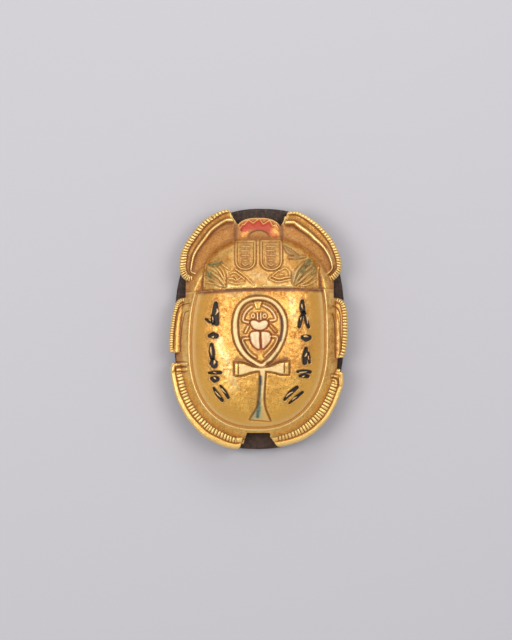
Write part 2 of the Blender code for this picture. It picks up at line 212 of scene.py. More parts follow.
def thoraxSides(x):
    left = x < thorax["x"]
    return (np.where(left, thorax["reachLeft"], thorax["reachRight"]),
            np.where(left, thorax["squareLeft"], thorax["squareRight"]))


def thoraxHeight(x, y):
    reach, n = thoraxSides(x)
    along = np.abs(y - thorax["y"]) / thorax["front"]
    r = ((np.abs(x - thorax["x"]) / reach) ** n + along ** n) ** (1 / n)
    dome = np.clip(1 - np.minimum(r, 1) ** thorax["fall"], 0, 1) ** thorax["round"]
    return thorax["low"] + (thorax["top"] - thorax["low"]) * dome


# Wall, rim bead, groove and domed wing cases
rimD = ovalDistance(gx, gy, rim["x"], rim["y"], rim["reach"], reachesAt(gy), rimSquare(gx, gy))
stepY = stepLine(gx)
bodyTop = body["wallHeight"] - 0.06 * np.maximum(rimD, 0)
bodyTop = bodyTop + rim["beadRaise"] * bell(rimD / rim["bead"]) * smoothStep(23, 15, gy)
bodyTop = np.where(rimD < -wingCase["edge"] + 0.3, np.maximum(caseHeight(gx, gy), bodyTop), bodyTop)
bodyTop = bodyTop - rim["grooveDepth"] * bell((rimD - rim["groove"]) / rim["grooveWidth"])
ahead = smoothStep(-0.15, 0.25, gy - stepY)
collar = body["wallHeight"] - 0.6
bodyTop = bodyTop * (1 - ahead) + np.minimum(bodyTop, collar) * ahead
fallOff = np.maximum(rimD - rim["band"], 0)
bodyTop = bodyTop - body["wallSlope"] * fallOff ** 2 / (fallOff + 1.2)

# Thorax, one soft step above the wing cases
thoraxReach, thoraxSquare = thoraxSides(gx)
thoraxD = ovalDistance(gx, gy, thorax["x"], thorax["y"], thoraxReach, thorax["front"], thoraxSquare)
thoraxTop = thoraxHeight(gx, gy) - 1.6 * np.maximum(thoraxD, 0)
behind = smoothStep(0, -0.5, gy - stepY)
thoraxTop = np.where(gy < stepY, thoraxTop * (1 - behind), thoraxTop)
thoraxTop = thoraxTop - 0.25 * bell((gy - stepY - 0.2) / 0.35)
height = np.maximum(bodyTop, thoraxTop)

# Floor of the casting between the legs and the body, low in the four gaps
web = {"reach": 39.6, "far": 51.8, "square": 3, "leftGap": -36.4, "rightGap": 37.6, "gapFrom": 14,
       "gapTo": 26, "frontRise": 2.6, "hindRise": 3.1, "middleRise": 2.4, "tailReach": 7.5,
       "notchLeft": -5.8, "notchRight": 5.5, "notchRoot": -51.9, "leftSlope": 0.32, "rightSlope": 0.55,
       "bridgeX": -41.2, "bridgeY": -14.4, "bridgeHalf": 3.6}
webD = ovalDistance(gx, gy, 0.3, 0, web["reach"], web["far"], web["square"])
gapZone = np.minimum(gy - web["gapFrom"], web["gapTo"] - gy)
gapCut = np.minimum(np.maximum(web["leftGap"] - gx, gx - web["rightGap"]), gapZone)
webD = np.maximum(webD, gapCut)
below = web["notchRoot"] - gy
inNotch = np.minimum(gx - web["notchLeft"] + web["leftSlope"] * below,
                     web["notchRight"] + web["rightSlope"] * below - gx)
tailFill = np.maximum(rimD - web["tailReach"], inNotch)
webD = np.where(gy < -20, np.minimum(webD, tailFill), webD)
bridge = np.maximum(web["bridgeX"] - gx, np.abs(gy - web["bridgeY"]) - web["bridgeHalf"])
webD = np.minimum(webD, bridge + 9 * (gx > 0))  # between the left middle and hind legs
rise = web["frontRise"] * smoothStep(25, 31, gy)
rise = rise + web["hindRise"] * smoothStep(-17.5, -21, gy)
rise = rise + web["middleRise"] * smoothStep(-13, -9, gy) * smoothStep(15, 11, gy)
webTop = body["webHeight"] + rise + 0.5 * noise(gx, gy, 6, 3) - 0.25 - 8 * np.maximum(webD, 0)
height = np.maximum(height, webTop)
skirt = np.where(gy < -45, rim["tailSkirt"], rim["skirt"])
goldD = np.minimum(webD, np.where(gy < 21, rimD - skirt, 9))

# Broad hollow shoulders between the front legs' inner ridges and the thorax
shoulders = {"atThorax": 11.2, "slope": 0.46, "low": 7.6,
             "left": [(-13.3, 57), (-12.3, 55), (-10.3, 52.3), (-8, 44), (-26, 28),
                      (-31, 24.6), (-34.8, 28), (-35.2, 34), (-31.5, 41), (-25, 47.5),
                      (-18.5, 52.5), (-14.5, 55.5)],
             "right": [(13.2, 56.6), (12.4, 53.6), (11.2, 52), (10.6, 46), (8, 43), (27, 27),
                       (32.6, 25), (36, 29), (36.6, 33.5), (33.5, 40), (27.5, 46.5), (20.5, 52),
                       (15, 54.8)]}
shoulderShade = np.zeros(gx.shape)
for side in ("left", "right"):
    d = polygonDistance(shoulders[side], gx, gy)
    top = np.maximum(shoulders["atThorax"] - shoulders["slope"] * np.maximum(thoraxD, 0), shoulders["low"])
    height = np.maximum(height, top - 6 * np.maximum(d, 0))
    goldD = np.minimum(goldD, d)
    shoulderShade = np.maximum(shoulderShade, smoothStep(0.5, -0.3, d) * smoothStep(0.2, 1.6, thoraxD))

# Legs: a section across each leg, knots of share of its width and height, between the edges named
# for each leg
legTop, legCorner, widestLeg = 9.6, 1.3, 11.0
sections = {"front": {"knots": [(0, 6.9), (0.08, 7.7), (0.2, 8.1), (0.95, 8.5), (1.06, 7.5), (1.16, 7.8),
                                (1.5, 7.9), (1.6, 8.4), (1.71, 9.4), (1.86, 9.5), (1.97, 8.5), (2.06, 7.6),
                                (2.3, 7.3)], "lean": 0.5, "padShine": 0.4, "pastBand": 0.6},
            "middle": {"knots": [(0, 6.4), (0.08, 7.3), (0.25, 7.8), (0.9, 8), (1.05, 7.7), (1.2, 8.1),
                                 (1.8, 8.3), (2.5, 8.4), (3.4, 8.5)], "lean": 0.1, "padShine": 0.45,
                       "pastBand": 4.2},
            "hind": {"knots": [(0, 7.2), (0.1, 8.2), (0.3, 8.8), (0.75, 8.9), (0.92, 8.3), (1, 7.5),
                               (1.06, 7.9), (1.9, 8.2), (1.97, 7.6), (2.04, 7.1), (2.2, 7.4)], "lean": 0.15,
                     "padShine": 1, "pastBand": 0.6}}
ribLook = {"raise": 0.75, "gapShare": 0.22, "edgeRound": 0.55, "crown": 0.25, "waver": 0.22}
legs = [{"kind": "front", "turn": 1, "slant": (0.37, 0), "ribPitch": (1.9, 1.3),
         "edge": [(-14.2, 59.6), (-17.4, 59.6), (-21.6, 58), (-26, 55.4), (-29.6, 52.3), (-34.4, 46.3),
                  (-37.1, 42.2), (-38.7, 38.5), (-39.5, 34), (-39.8, 30.5), (-39.2, 27.7), (-37.6, 25.2),
                  (-35.2, 23.7), (-32, 23)], "ribs": (1.3, 2.5, 3.1, 3.3, 3.7, 3.1),
         "band": (6.2, 7, 7.7, 7.6, 6.8, 5), "strength": (0.7, 1, 1, 1, 1)},
        {"kind": "front", "turn": -1, "slant": (0.31, 0), "ribPitch": (1.8, 1.35),
         "edge": [(14.3, 58.6), (19, 58.9), (22.8, 57.4), (26.4, 55.2), (30.5, 52.2), (34.4, 48.2),
                  (37.2, 44.5), (39.5, 40), (41.2, 35.5), (41.7, 31.5), (41.5, 29.2), (40.2, 26.8),
                  (38, 24.5), (35.2, 22.8)], "ribs": (1.4, 1.8, 2.2, 2.4, 2.7, 3.2),
         "band": (6.4, 7.9, 8, 6.3, 5.5, 4.8), "strength": (0.45, 0.4, 0.6, 1, 1)},
        {"kind": "middle", "turn": 1, "slant": (0, 0.1), "ribPitch": (1.25, 1.2),
         "edge": [(-34, 15.4), (-37.2, 15.6), (-39.8, 14.9), (-41.7, 12.5), (-42.8, 8.5), (-43.7, 4),
                  (-44.4, -0.5), (-44.75, -4.5), (-44.85, -8.5), (-44.6, -11.8)],
         "ribs": (1.9, 2.1, 2.2, 2.2, 2.2), "band": (5, 5.2, 5.4, 5.5, 5.5),
         "strength": (0.9, 1, 0.9, 0.8, 0.7)},
        {"kind": "middle", "turn": -1, "slant": (0, 0.35), "ribPitch": (1.5, 1.55),
         "edge": [(35.2, 14.9), (37.8, 15.6), (40.5, 15.3), (42.8, 13.7), (43.9, 11.2), (44.5, 8),
                  (44.8, 3.5), (44.8, -1.5), (44.5, -6.5), (43.9, -10.5), (43.1, -14.2)],
         "ribs": (2.2, 2.5, 2.8, 2.8, 2.6), "band": (5.6, 5.8, 6, 6, 5.8), "strength": (1, 1, 1, 1, 1)},
        {"kind": "hind", "turn": -1, "slant": (0.48, 0), "ribPitch": (1.9, 1.84),
         "edge": [(-9.4, -59.9), (-11.8, -60.1), (-16.2, -59.3), (-22.2, -56.8), (-27.8, -53.5),
                  (-32.2, -49.2), (-36.2, -44.2), (-39.5, -38.2), (-41.8, -32.5), (-43.1, -27),
                  (-43.9, -22.6), (-44, -19.4), (-43.7, -16.8)], "ribs": (3, 3.4, 3.3, 2.9, 2.7, 2.6),
         "band": (5.9, 6.9, 7.1, 6.7, 6.3, 6.1), "strength": (1, 1, 1, 1, 1)},
        {"kind": "hind", "turn": 1, "slant": (0.55, 0), "ribPitch": (1.9, 1.84),
         "edge": [(9.6, -59.1), (12.9, -58.6), (17.8, -57.3), (22.4, -55.5), (27.3, -52.5), (30.7, -49.5),
                  (33.6, -46.5), (35.8, -43.4), (38.6, -38.4), (40.7, -33.2), (42.2, -28.7), (42.6, -25.9),
                  (42.4, -21.4)], "ribs": (3.1, 3.1, 2.8, 2.5, 2.5, 2.7),
         "band": (6.1, 7, 7.1, 6.7, 6.5, 6.6), "strength": (0.9, 1, 1, 1, 0.9)}]

ribGapShade = np.zeros(gx.shape)
legMap = np.zeros(gx.shape)
for leg in legs:
    look = sections[leg["kind"]]
    path = curve(leg["edge"], 6)
    near = within(path, widestLeg)
    x, y = gx[near], gy[near]
    _, off, run, length = nearPath(path, x, y)
    depth = off * leg["turn"]  # inward from the outer edge
    past = -np.minimum(run, length - run)
    for end, beside, atEnd in ((path[0], path[1], run < 1e-6), (path[-1], path[-2], run > length - 1e-6)):
        away = (end - beside) / np.hypot(*(end - beside))
        beyond = (x - end[0]) * away[0] + (y - end[1]) * away[1]
        across = np.abs((x - end[0]) * away[1] - (y - end[1]) * away[0]) * np.sign(depth)
        depth = np.where(atEnd, across, depth)
        past = np.where(atEnd, beyond, past)
    share = run / length
    past = past - np.where(share < 0.5, leg["slant"][0], leg["slant"][1]) * np.clip(depth, 0, 8)
    ribEdge, bandEdge = spread(leg["ribs"], share), spread(leg["band"], share)
    place = np.where(depth < ribEdge, depth / ribEdge, 1 + (depth - ribEdge) / (bandEdge - ribEdge))
    deepest = bandEdge + look["pastBand"]
    cx, cy = np.maximum(-depth, depth - deepest) + legCorner, past + legCorner
    legD = np.hypot(np.maximum(cx, 0), np.maximum(cy, 0)) + np.minimum(np.maximum(cx, cy), 0) - legCorner
    ks, hs = np.array(look["knots"]).T
    fine = np.linspace(-0.5, 4, 1801)
    table = np.interp(fine, ks, hs)
    kernel = np.hanning(51)
    table = np.convolve(np.pad(table, 25, mode="edge"), kernel / kernel.sum(), mode="valid")
    top = np.interp(place, fine, table)
    hind = leg["kind"] == "hind"
    low, high = (1.03, 1.97) if hind else (0.03, 0.99)
    inStrip = (place - low) / (high - low)
    bow = look["lean"] * (inStrip ** 2 - 0.3) * (-1 if hind else 1)
    first, last = leg["ribPitch"]
    grow = (last - first) / length  # the ribs' pitch changes evenly from end to end
    way = run + bow + ribLook["waver"] * (noise(x, y, 2.2, 9) - 0.5)
    phase = np.cos(2 * pi * np.log(1 + grow * way / first) / grow)
    edgeAt = -np.cos(pi * ribLook["gapShare"])
    rib = smoothStep(edgeAt - 0.25, edgeAt + (0.3 if hind else 0.5), phase)
    strip = smoothStep(-0.02, 0.07, inStrip) * smoothStep(1.03, 0.94, inStrip) * smoothStep(0.1, -0.5, past)
    if hind:
        toTop = np.where(share > 0.5, length - run, 99)
        strip = strip * smoothStep(4.6, 5.4, toTop)
        joined = smoothStep(3.4, 2.4, toTop) * smoothStep(0.7, 0.85, place)
        top = np.maximum(top, 8.4 * joined * smoothStep(1.5, 1.2, place))
    strip = strip * spread(leg["strength"], share)
    crown = ribLook["crown"] * np.sin(pi * np.clip(inStrip, 0, 1))
    uneven = 0.8 + 0.4 * noise(run, 0 * run + 7, 1.7, 5)
    top = top + strip * (ribLook["raise"] * (rib - 0.6) + crown) * uneven
    r = ribLook["edgeRound"]
    edgeDrop = r - np.sqrt(np.clip(r ** 2 - np.clip(r + legD, 0, r) ** 2, 0, None))
    top = np.minimum(top, legTop) - 0.8 * edgeDrop - 9 * np.maximum(legD, 0)
    height[near] = np.maximum(height[near], top)
    goldD[near] = np.minimum(goldD[near], legD)
    here = legD < 0.05
    # painted shade in the gaps between the ribs
    ribGapShade[near] = np.where(here, strip * (1 - rib), ribGapShade[near])
    # rib tops painted pale as a painted highlight
    paintMaps["pad"][near] = np.where(here, look["padShine"] * strip * rib, paintMaps["pad"][near])
    if leg["kind"] == "front":
        channel = smoothStep(1.04, 1.14, place) * smoothStep(1.68, 1.6, place)
        ridge = smoothStep(1.62, 1.72, place) * smoothStep(1.96, 1.88, place) * smoothStep(0.1, -0.6, past)
        glow = smoothStep(0.3, 0.55, noise(x, y, 2.6, 61))
        paintMaps["olive"][near] = np.where(here, channel, paintMaps["olive"][near])
        # painted highlight along the front legs' inner ridge
        paintMaps["light"][near] = np.where(here, ridge * (0.3 + 0.4 * glow), paintMaps["light"][near])
    legMap[near] = np.maximum(legMap[near], smoothStep(0.1, -0.2, legD) * (place < 2))
print("legs carved")

# Head: shovel with a row of red flames in front of a low half dome
head = {"x": 0, "root": 44.5, "reachX": 12.3, "reachY": 11.2, "square": 2.7, "front": 5.6, "rear": 11.6}
fy = gy - head["root"]
fanD = np.maximum(ovalDistance(gx, gy, head["x"], head["root"], head["reachX"], head["reachY"],
                               head["square"]), -fy)
fanTop = head["rear"] + (head["front"] - head["rear"]) * np.clip(fy / head["reachY"], 0, 1.05) ** 1.2
fanTop = fanTop + 0.3 * bell((fanD + 0.45) / 0.35) * smoothStep(50, 52.5, gy)
fanTop = fanTop - 0.5 * np.clip(fanD / 0.6 + 1, 0, 1) ** 2 - 9 * np.maximum(fanD, 0)
height = np.maximum(height, fanTop)
goldD = np.minimum(goldD, fanD)
boss = {"x": 0.2, "y": 44, "reachX": 5.6, "reachY": 5, "foot": 10.8, "raise": 1.2}
bossR = np.hypot((gx - boss["x"]) / boss["reachX"],
                 np.where(gy > boss["y"], (gy - boss["y"]) / boss["reachY"], 9))
bossTop = boss["foot"] + boss["raise"] * np.clip(1 - bossR ** 3, 0, 1) ** 0.6
height = np.where(bossR < 1, np.maximum(height, bossTop), height - 0.1 * bell((bossR - 1.06) / 0.08))
for cx in (-9.8, 10.6):  # slots between the head and the front legs
    r = np.hypot((gx - cx) / 0.9, (gy - 48.4) / 3.6)
    height = height - 0.5 * smoothStep(1.5, 0.2, r)

# The thorax meets the shoulders and the head softly
softEdge = bell(thoraxD / 1.1) * smoothStep(24, 29, gy)
besideHead = smoothStep(3.2, 2, np.minimum(np.abs(gx + 10.6), np.abs(gx - 10.9)))
besideHead = besideHead * smoothStep(43, 45, gy) * smoothStep(53, 51, gy)
height = height + besideHead * (blur(height, 0.9 / pitch) - height)
height = height + 0.85 * softEdge * (blur(height, 0.8 / pitch) - height)


# Raised and sunk drawing on the back
def stroke(path, width, lift, soft=0.3, paint=None, moat=0, strength=1):
    # width is one value or values spread evenly along the path; a moat is a fine groove on both sides
    path = np.array(path, float)
    wide = np.atleast_1d(width)
    at = within(path, wide.max() / 2 + 1.6)
    x, y = gx[at], gy[at]
    d, _, run, length = nearPath(path, x, y)
    w = spread(wide, run / length) / 2
    if moat:
        height[at] -= moat * bell((d - w - 0.35) / 0.42)
    height[at] += lift * smoothStep(w + soft * 0.5, w - soft * 0.9, d)
    if paint:
        cover(paint, strength * smoothStep(w + 0.12, w - 0.2, d), at)


def patch(points, lift, soft=0.35, paint=None, moat=0, crown=0, strength=1):
    at = within(points, 2)
    x, y = gx[at], gy[at]
    d = polygonDistance(points, x, y)
    if moat:
        height[at] -= moat * bell((d - 0.3) / 0.42)
    height[at] += lift * smoothStep(soft * 0.5, -soft, d) + crown * smoothStep(0, -2, d)
    if paint:
        cover(paint, strength * smoothStep(0.1, -0.2, d), at)


def wash(path, width, paint, strength):
    # paint alone, soft at its edges
    path = np.array(path, float)
    at = within(path, width)
    d = nearPath(path, gx[at], gy[at])[0]
    lay(paint, strength * smoothStep(width / 2 + 0.5, width / 2 - 0.5, d), at)


def washes(paint, *spots):
    for path, width, strength in spots:
        wash(path, width, paint, strength)


def ribbon(path, widths):
    # closed outline of a flat-ended band, its widths spread evenly along the path
    path = np.array(path, float)
    along = np.gradient(path, axis=0)
    along /= np.hypot(along[:, 0], along[:, 1])[:, None]
    across = np.stack([-along[:, 1], along[:, 0]], -1)
    gaps = np.hypot(*np.diff(path, axis=0).T)
    share = np.concatenate([[0], np.cumsum(gaps)]) / gaps.sum()
    half = spread(widths, share)[:, None] / 2
    return np.vstack([path + across * half, (path - across * half)[::-1]])


# The hind legs' outer bands wrap round their tops, with cross bars below on the left one
wraps = [([(-42.8, -20.6), (-42.3, -18.6), (-40.6, -17.7), (-36.2, -17.5)], 1.5, 0.5),
         ([(-40.6, -20.4), (-36.3, -20.2)], 1.5, 0.55),
         ([(36.9, -23.4), (38.4, -23.7), (40.25, -25), (40.8, -28)], 1.1, 0.25),
         ([(37.1, -25.3), (38.2, -25.4), (39.2, -26.5), (39, -28.4)], 1, 0.3)]
for knots, wide, lift in wraps:
    stroke(curve(knots, 5), wide, lift, 0.4, None, 0.3)

# The middle legs carry two dark lines with a smooth band between them, hooked over at the head end
arcs = {"band": 1.7, "bandRaise": 0.3, "line": 0.5, "lineDepth": 0.55,
        "bands": [[(-40.9, -11.4), (-40.5, -3), (-40, 2.6), (-39.2, 7.4), (-37.9, 9.8), (-36.4, 10.8)],
                  [(39.75, -14.4), (39.65, -1.7), (38.9, 6.05), (37.9, 8.6), (36.9, 9.6)]],
        "lines": [[(-42.5, -9.4), (-41.9, -0.2), (-41.2, 6.4), (-40, 10), (-38.1, 12), (-34.6, 12.8)],
                  [(-38.9, -11.3), (-38.9, -5.8), (-38.4, -0.2), (-37.5, 5.4), (-36.7, 8.1), (-34.8, 9)],
                  [(41.5, -10.6), (41, -1.7), (40.9, 6.05), (40.05, 9.4), (38.5, 10.9), (36.9, 11.6)],
                  [(38.35, -14.4), (38.2, -1.7), (37.8, 3.85), (37.1, 6.9), (36.6, 7.4)]]}
for knots in arcs["bands"]:
    stroke(curve(knots, 5), arcs["band"], arcs["bandRaise"], 0.6)
for knots in arcs["lines"]:
    stroke(curve(knots, 5), arcs["line"], -arcs["lineDepth"], 0.35)
    # brown painted shade along the sunk lines
    wash(curve(knots, 5), 0.4, "umberAndShade", 0.8)
# brown painted shade in the grooves beside the hind legs' wraps and bars
for knots in ([(35.4, -22.3), (38.6, -22.4), (41.2, -23.4)],
              [(35.4, -24.4), (38.75, -24.45), (40.1, -25.9), (40.1, -29.5)],
              [(-41, -19), (-36.4, -18.9)], [(-41.2, -21.9), (-36.4, -21.7)]):
    wash(curve(knots, 5), 0.3, "umberAndShade", 0.7)

# Flames of the head's shovel
flames = [(-9.3, 50.2), (-8.1, 52.2), (-7.1, 52.2), (-5.05, 54.7), (-2.75, 52.9), (0.4, 55.4), (2.25, 52.4),
          (5.5, 54.3), (7.2, 51.6), (8.8, 52.2), (10.2, 50)]
flameFoot = [(10.2, 48.6), (6.2, 48.4), (2.9, 49), (-1, 49.5), (-4.5, 49.2), (-6.6, 48.2), (-9, 48.4)]
stroke(flames, 0.4, 0.15, 0.25, None, 0.2)
at = within(flames, 4)
above = polygonDistance(flames + [(12, 60), (-12, 60)], gx[at], gy[at])
height[at] -= 0.35 * smoothStep(0, -0.8, above) * smoothStep(-0.3, -0.9, fanD[at])
lay("rust", 0.75 * smoothStep(0, -0.5, above) * smoothStep(-0.2, -0.7, fanD[at]), at)
redD = polygonDistance(flames + flameFoot, gx, gy)
fade = smoothStep(8.2, 5.4, gx) * 0.75 + 0.25
lay("red", smoothStep(0.15, -0.35, redD) * fade)
washes("red", ([(4.9, 48.4), (6.8, 47.6), (8.6, 46)], 2.6, 0.6), ([(-8, 48.2), (-6.6, 46.8)], 1, 0.4))
# painted shadow in the shovel's left corner
wash([(-8.8, 49.4), (-8.7, 49.2)], 0.6, "dark", 0.8)
# painted shadow down both sides of the shovel
for side in (-11.7, 11.7):
    wash([(side, 44.6), (side, 50), (side * 0.93, 53.4)], 1.8, "umberAndShade", 0.9)

# Ankh: a looped band, a flared bar and a flared stem, raised from the back within a groove
ankh = {"loop": [(1.25, -18.2), (-2.5, -16.4), (-6.3, -13.4), (-8.8, -10.2), (-10.6, -6.6), (-11.7, -1.5),
                 (-11.6, 5), (-10.2, 9.9), (-7.7, 13.2), (-4.2, 15), (0.3, 15.6), (4.8, 14.9),
                 (8.4, 12.8), (11.2, 9.4), (12.9, 5.3), (13.3, 1), (12.6, -3.4), (11.2, -7.2),
                 (9.3, -10.8), (6.6, -14.3), (3.6, -17)],
        "bandWidths": [1.6, 1.9, 2.2, 2.4, 2.1, 1.7, 1.5, 1.7, 1.9, 1.8, 1.7, 1.8, 1.6], "shrink": 0.985,
        "middle": np.array([0.8, -1.5]), "raise": 1.1, "moat": 0.6, "inside": -0.3,
        "bar": [(-11.8, -19.9), (-10.4, -19.9), (-9, -19.9), (-5, -19.9), (-1, -20), (3.4, -20),
                (8, -19.6), (12.4, -19.4), (13.6, -19.4), (15, -19.4)],
        "barWidths": [6.2, 6, 5.4, 3.5, 2.1, 1.3, 1.5, 2.1, 3.3, 5.3, 5.9, 6.2],
        "stem": [(1.9, -19.5), (2.1, -23.5), (1.9, -28), (1.5, -34), (1.3, -39.5), (0.8, -45.4)],
        "stemWidths": [3.2, 2.5, 2.2, 2, 2, 2.1, 2.3, 2.9, 4.4, 7.4, 10]}


def scaled(path, share, about):
    return (path - about) * share + about


loopPath = scaled(curve(ankh["loop"], 6, closed=True), ankh["shrink"], ankh["middle"])
at = within(loopPath, 1)
height[at] += ankh["inside"] * smoothStep(0.2, -0.8, polygonDistance(loopPath[:-1], gx[at], gy[at]))
stemShape = ribbon(curve(ankh["stem"], 5), ankh["stemWidths"])
barShape = ribbon(curve(ankh["bar"], 4), ankh["barWidths"])
at = within(np.vstack([loopPath, stemShape, barShape]), 3)
x, y = gx[at], gy[at]
loopAway, _, run, length = nearPath(loopPath, x, y)
loopD = loopAway - spread(ankh["bandWidths"], run / length) / 2
ankhD = np.minimum(np.minimum(loopD, polygonDistance(stemShape, x, y)), polygonDistance(barShape, x, y))
height[at] += ankh["raise"] * smoothStep(0.2, -0.35, ankhD) - ankh["moat"] * bell((ankhD - 0.35) / 0.45)
lay("cream", smoothStep(0.12, -0.25, loopD), at)
for shape in ([(-9.5, -17.2), (-5.2, -18.7), (-0.3, -19.3), (-0.3, -20.5), (-4.3, -20.9), (-9.3, -22.7)],
              [(3.7, -19.1), (8.2, -18.5), (12.3, -16.6), (12.3, -22.3), (8.2, -21.3), (3.7, -20.6)],
              [(-0.3, -19.2), (0.6, -17.4), (2.8, -17.4), (3.8, -18.9), (3.8, -20.7), (2.9, -21.6),
               (1, -21.6), (-0.2, -20.8)]):
    patch(shape, 0, 0.4, "cream", strength=0.92)
patch(ribbon(curve(ankh["stem"][:4], 4), [3, 2, 1.7, 1.5, 1.2]), 0, 0.4, "cream", 0, strength=0.8)
patch(ribbon([(1.6, -28), (1.4, -36), (0.9, -44.6)], [1.3, 1.6, 5.6]), 0, 0.4, "cream", strength=0.22)
for cx, low, high in ((-10, -23, -16.8), (12.9, -21.8, -16.6)):  # lines that part the bar's caps
    stroke([(cx, high), (cx, low)], 0.55, -0.5, 0.3, "dark", strength=0.55)
washes("blue", ([(1, -23.6), (1.1, -26.9)], 1.6, 1),
       ([(11.2, 6), (11.8, 1), (11, -5.6)], 1.3, 0.85))
washes("teal", ([(1, -26), (0.75, -32), (0.4, -37.6)], 1.2, 1),
       ([(0.3, -36.4), (0, -40), (-0.4, -43.4)], 2, 1), ([(9, -12), (7, -14.6)], 0.9, 0.6),
       ([(4.3, -16.6), (5, -16.2)], 1.2, 0.5), ([(-5, 16.6), (-1, 17.6), (2, 17.6)], 1.6, 0.35))
washes("mint", ([(1.3, -38.6), (1.2, -41.6), (1.6, -44.4)], 1, 0.8),
       ([(-1.4, -40.8), (-2.2, -42.8), (-2.8, -44.4)], 1.5, 0.9))
washes("green", ([(-9, -23), (-4.6, -21.4), (-0.6, -20.9)], 0.7, 0.5),
       ([(8.4, -21.6), (12, -22.6)], 0.7, 0.5), ([(4.6, -18.9), (8.4, -18.3)], 0.6, 0.5))
# painted shade above the bar, beside its caps, round the loop's edges and left of the stem's foot
washes("umberAndShade", ([(4.6, -17.2), (9.2, -15.9), (13.8, -14.8)], 2.2, 0.85),
       ([(-2.6, -18), (-7.4, -15.9), (-10.8, -14.9)], 2.4, 0.7),
       ([(15.6, -15.4), (15.8, -20), (15, -22.8)], 0.7, 0.7),
       ([(-12.3, -15.6), (-12.5, -20.6), (-11.2, -23.4)], 0.7, 0.7),
       (scaled(loopPath, [0.84, 0.88], ankh["middle"]), 0.9, 0.62),
       (scaled(loopPath, [1.12, 1.08], ankh["middle"])[:90], 0.7, 0.3),
       ([(-4.2, -37), (-2.8, -41.4)], 2.4, 0.35))
# painted shade along both sides of the stem
for path in ([(-0.4, -24.6), (-0.6, -30), (-1.2, -38), (-2.6, -42.6), (-4.4, -45.6)],
             [(3.4, -22.4), (3.2, -30), (3.1, -37), (4.2, -42), (6.2, -45.6)]):
    wash(path, 0.7, "umberAndShade", 0.55)

# The small beetle in the ankh's loop
emblem = {"raise": 0.7, "leg": 0.95, "legRaise": 0.55}
patch([(-2.6, 13.9), (1.9, 13.9), (0.6, 9.9), (-1.3, 9.9)], 0.4, 0.4, "rubbedAndLitFlank", 0.3)
for cx, cy in ((-2.75, 6.5), (3, 6.5)):
    ring = ovalPoint(np.linspace(0, 2 * pi, 13), 0.85, 1, 2) + np.array([cx, cy])
    stroke(ring, 0.6, 0.45, 0.25, "ivory", 0.3, strength=0.85)
    wash([(cx, cy), (cx + 0.01, cy)], 0.35, "rust", 0.8)
for x0 in (-0.55, 1.1):
    stroke([(x0, 7.7), (x0 + 0.1, 4.7)], 0.75, 0.55, 0.3, "ivory", 0.35)
kidney = curve([(-4.1, 3.2), (-2.8, 4.3), (-0.9, 4), (0.3, 3.3), (1.5, 4), (3.6, 4.3), (4.8, 3),
                (3.9, 0.9), (1.9, -0.35), (-0.4, -0.4), (-2.6, 0.5)], 4, closed=True)[:-1]
patch(kidney, emblem["raise"], 0.4, "ivory", 0.55, 0.35)
leftCase = curve([(0.35, -1.5), (0.4, -5.5), (0.6, -9.6), (-1.1, -9.4), (-3.2, -7.2), (-4.2, -4.2),
                  (-3.9, -2), (-2.2, -1.3)], 4, closed=True)[:-1]
rightCase = curve([(1.3, -1.6), (1.5, -5.5), (1.9, -9.6), (3.8, -8.3), (5.6, -6), (6.1, -3.5),
                   (5.2, -1.8), (3.2, -1.3)], 4, closed=True)[:-1]
for shape in (leftCase, rightCase):
    patch(shape, emblem["raise"], 0.4, "ivory", 0.55, 0.3)
for knots, paint, strong in (
        (((-3.3, 11.1), (-5, 9.9), (-6.8, 7.7), (-7.6, 5.2), (-7.3, 3.9), (-4.9, 3.3)), "ivory", 0.9),
        (((2.3, 11.8), (5.6, 10), (7.7, 7.4), (8.5, 5.1), (7.6, 4.4), (5.8, 4.2)), "ivory", 0.8),
        (((-5.2, 1.3), (-6.5, -1.6)), "ivory", 0.7), (((5.9, 1.8), (7.3, 0.2), (8.5, -1.2)), "rust", 0.6),
        (((-4.7, -4.6), (-7.6, -5), (-7.4, -7), (-4.6, -11.6), (-1.4, -14)), "ivory", 0.55),
        (((6.4, -3.6), (8.9, -3.9), (9.2, -5.5), (7.4, -8.9), (3.2, -13.4)), "ivory", 0.4)):
    stroke(curve(knots, 5), emblem["leg"], emblem["legRaise"], 0.35, paint, 0.5, strength=strong)
washes("rust", ([(1.1, -1.2), (1.35, -9)], 0.5, 0.8), ([(-1.9, -3.6), (-1.2, -7.4)], 2.2, 0.18),
       ([(3.6, -3.6), (3.2, -7.4)], 2.8, 0.26),
       ([(6.2, -1.4), (9.6, -2.8), (9.8, -5.4), (7.9, -9.4)], 0.6, 0.7),
       ([(6.3, -4.6), (8, -5)], 0.8, 0.6), ([(-6, -3.6), (-8.4, -4.4)], 0.6, 0.55),
       ([(-3.4, -8.6), (-0.6, -11.2), (1.4, -11.6)], 0.7, 0.7), ([(6.6, 1.6), (8.2, -0.8)], 0.9, 0.7))
washes("red", ([(1.2, -9.6), (1.4, -10.6)], 1, 0.9), ([(6.9, -9.5), (8.6, -11.2)], 0.8, 0.45))
washes("umberAndShade", ([(-9.4, 4), (-8.8, -4), (-6.4, -9.6)], 2.6, 0.4),
       ([(-6.4, 11), (-3, 13.6), (3, 13.8)], 1.6, 0.4))
for shape in (kidney, leftCase, rightCase):  # rust line around the small beetle's body
    at = within(shape, 1.5)
    d = polygonDistance(shape, gx[at], gy[at])
    lay("rust", 0.85 * bell((d - 0.35) / 0.36), at)
print("ankh and small beetle carved")
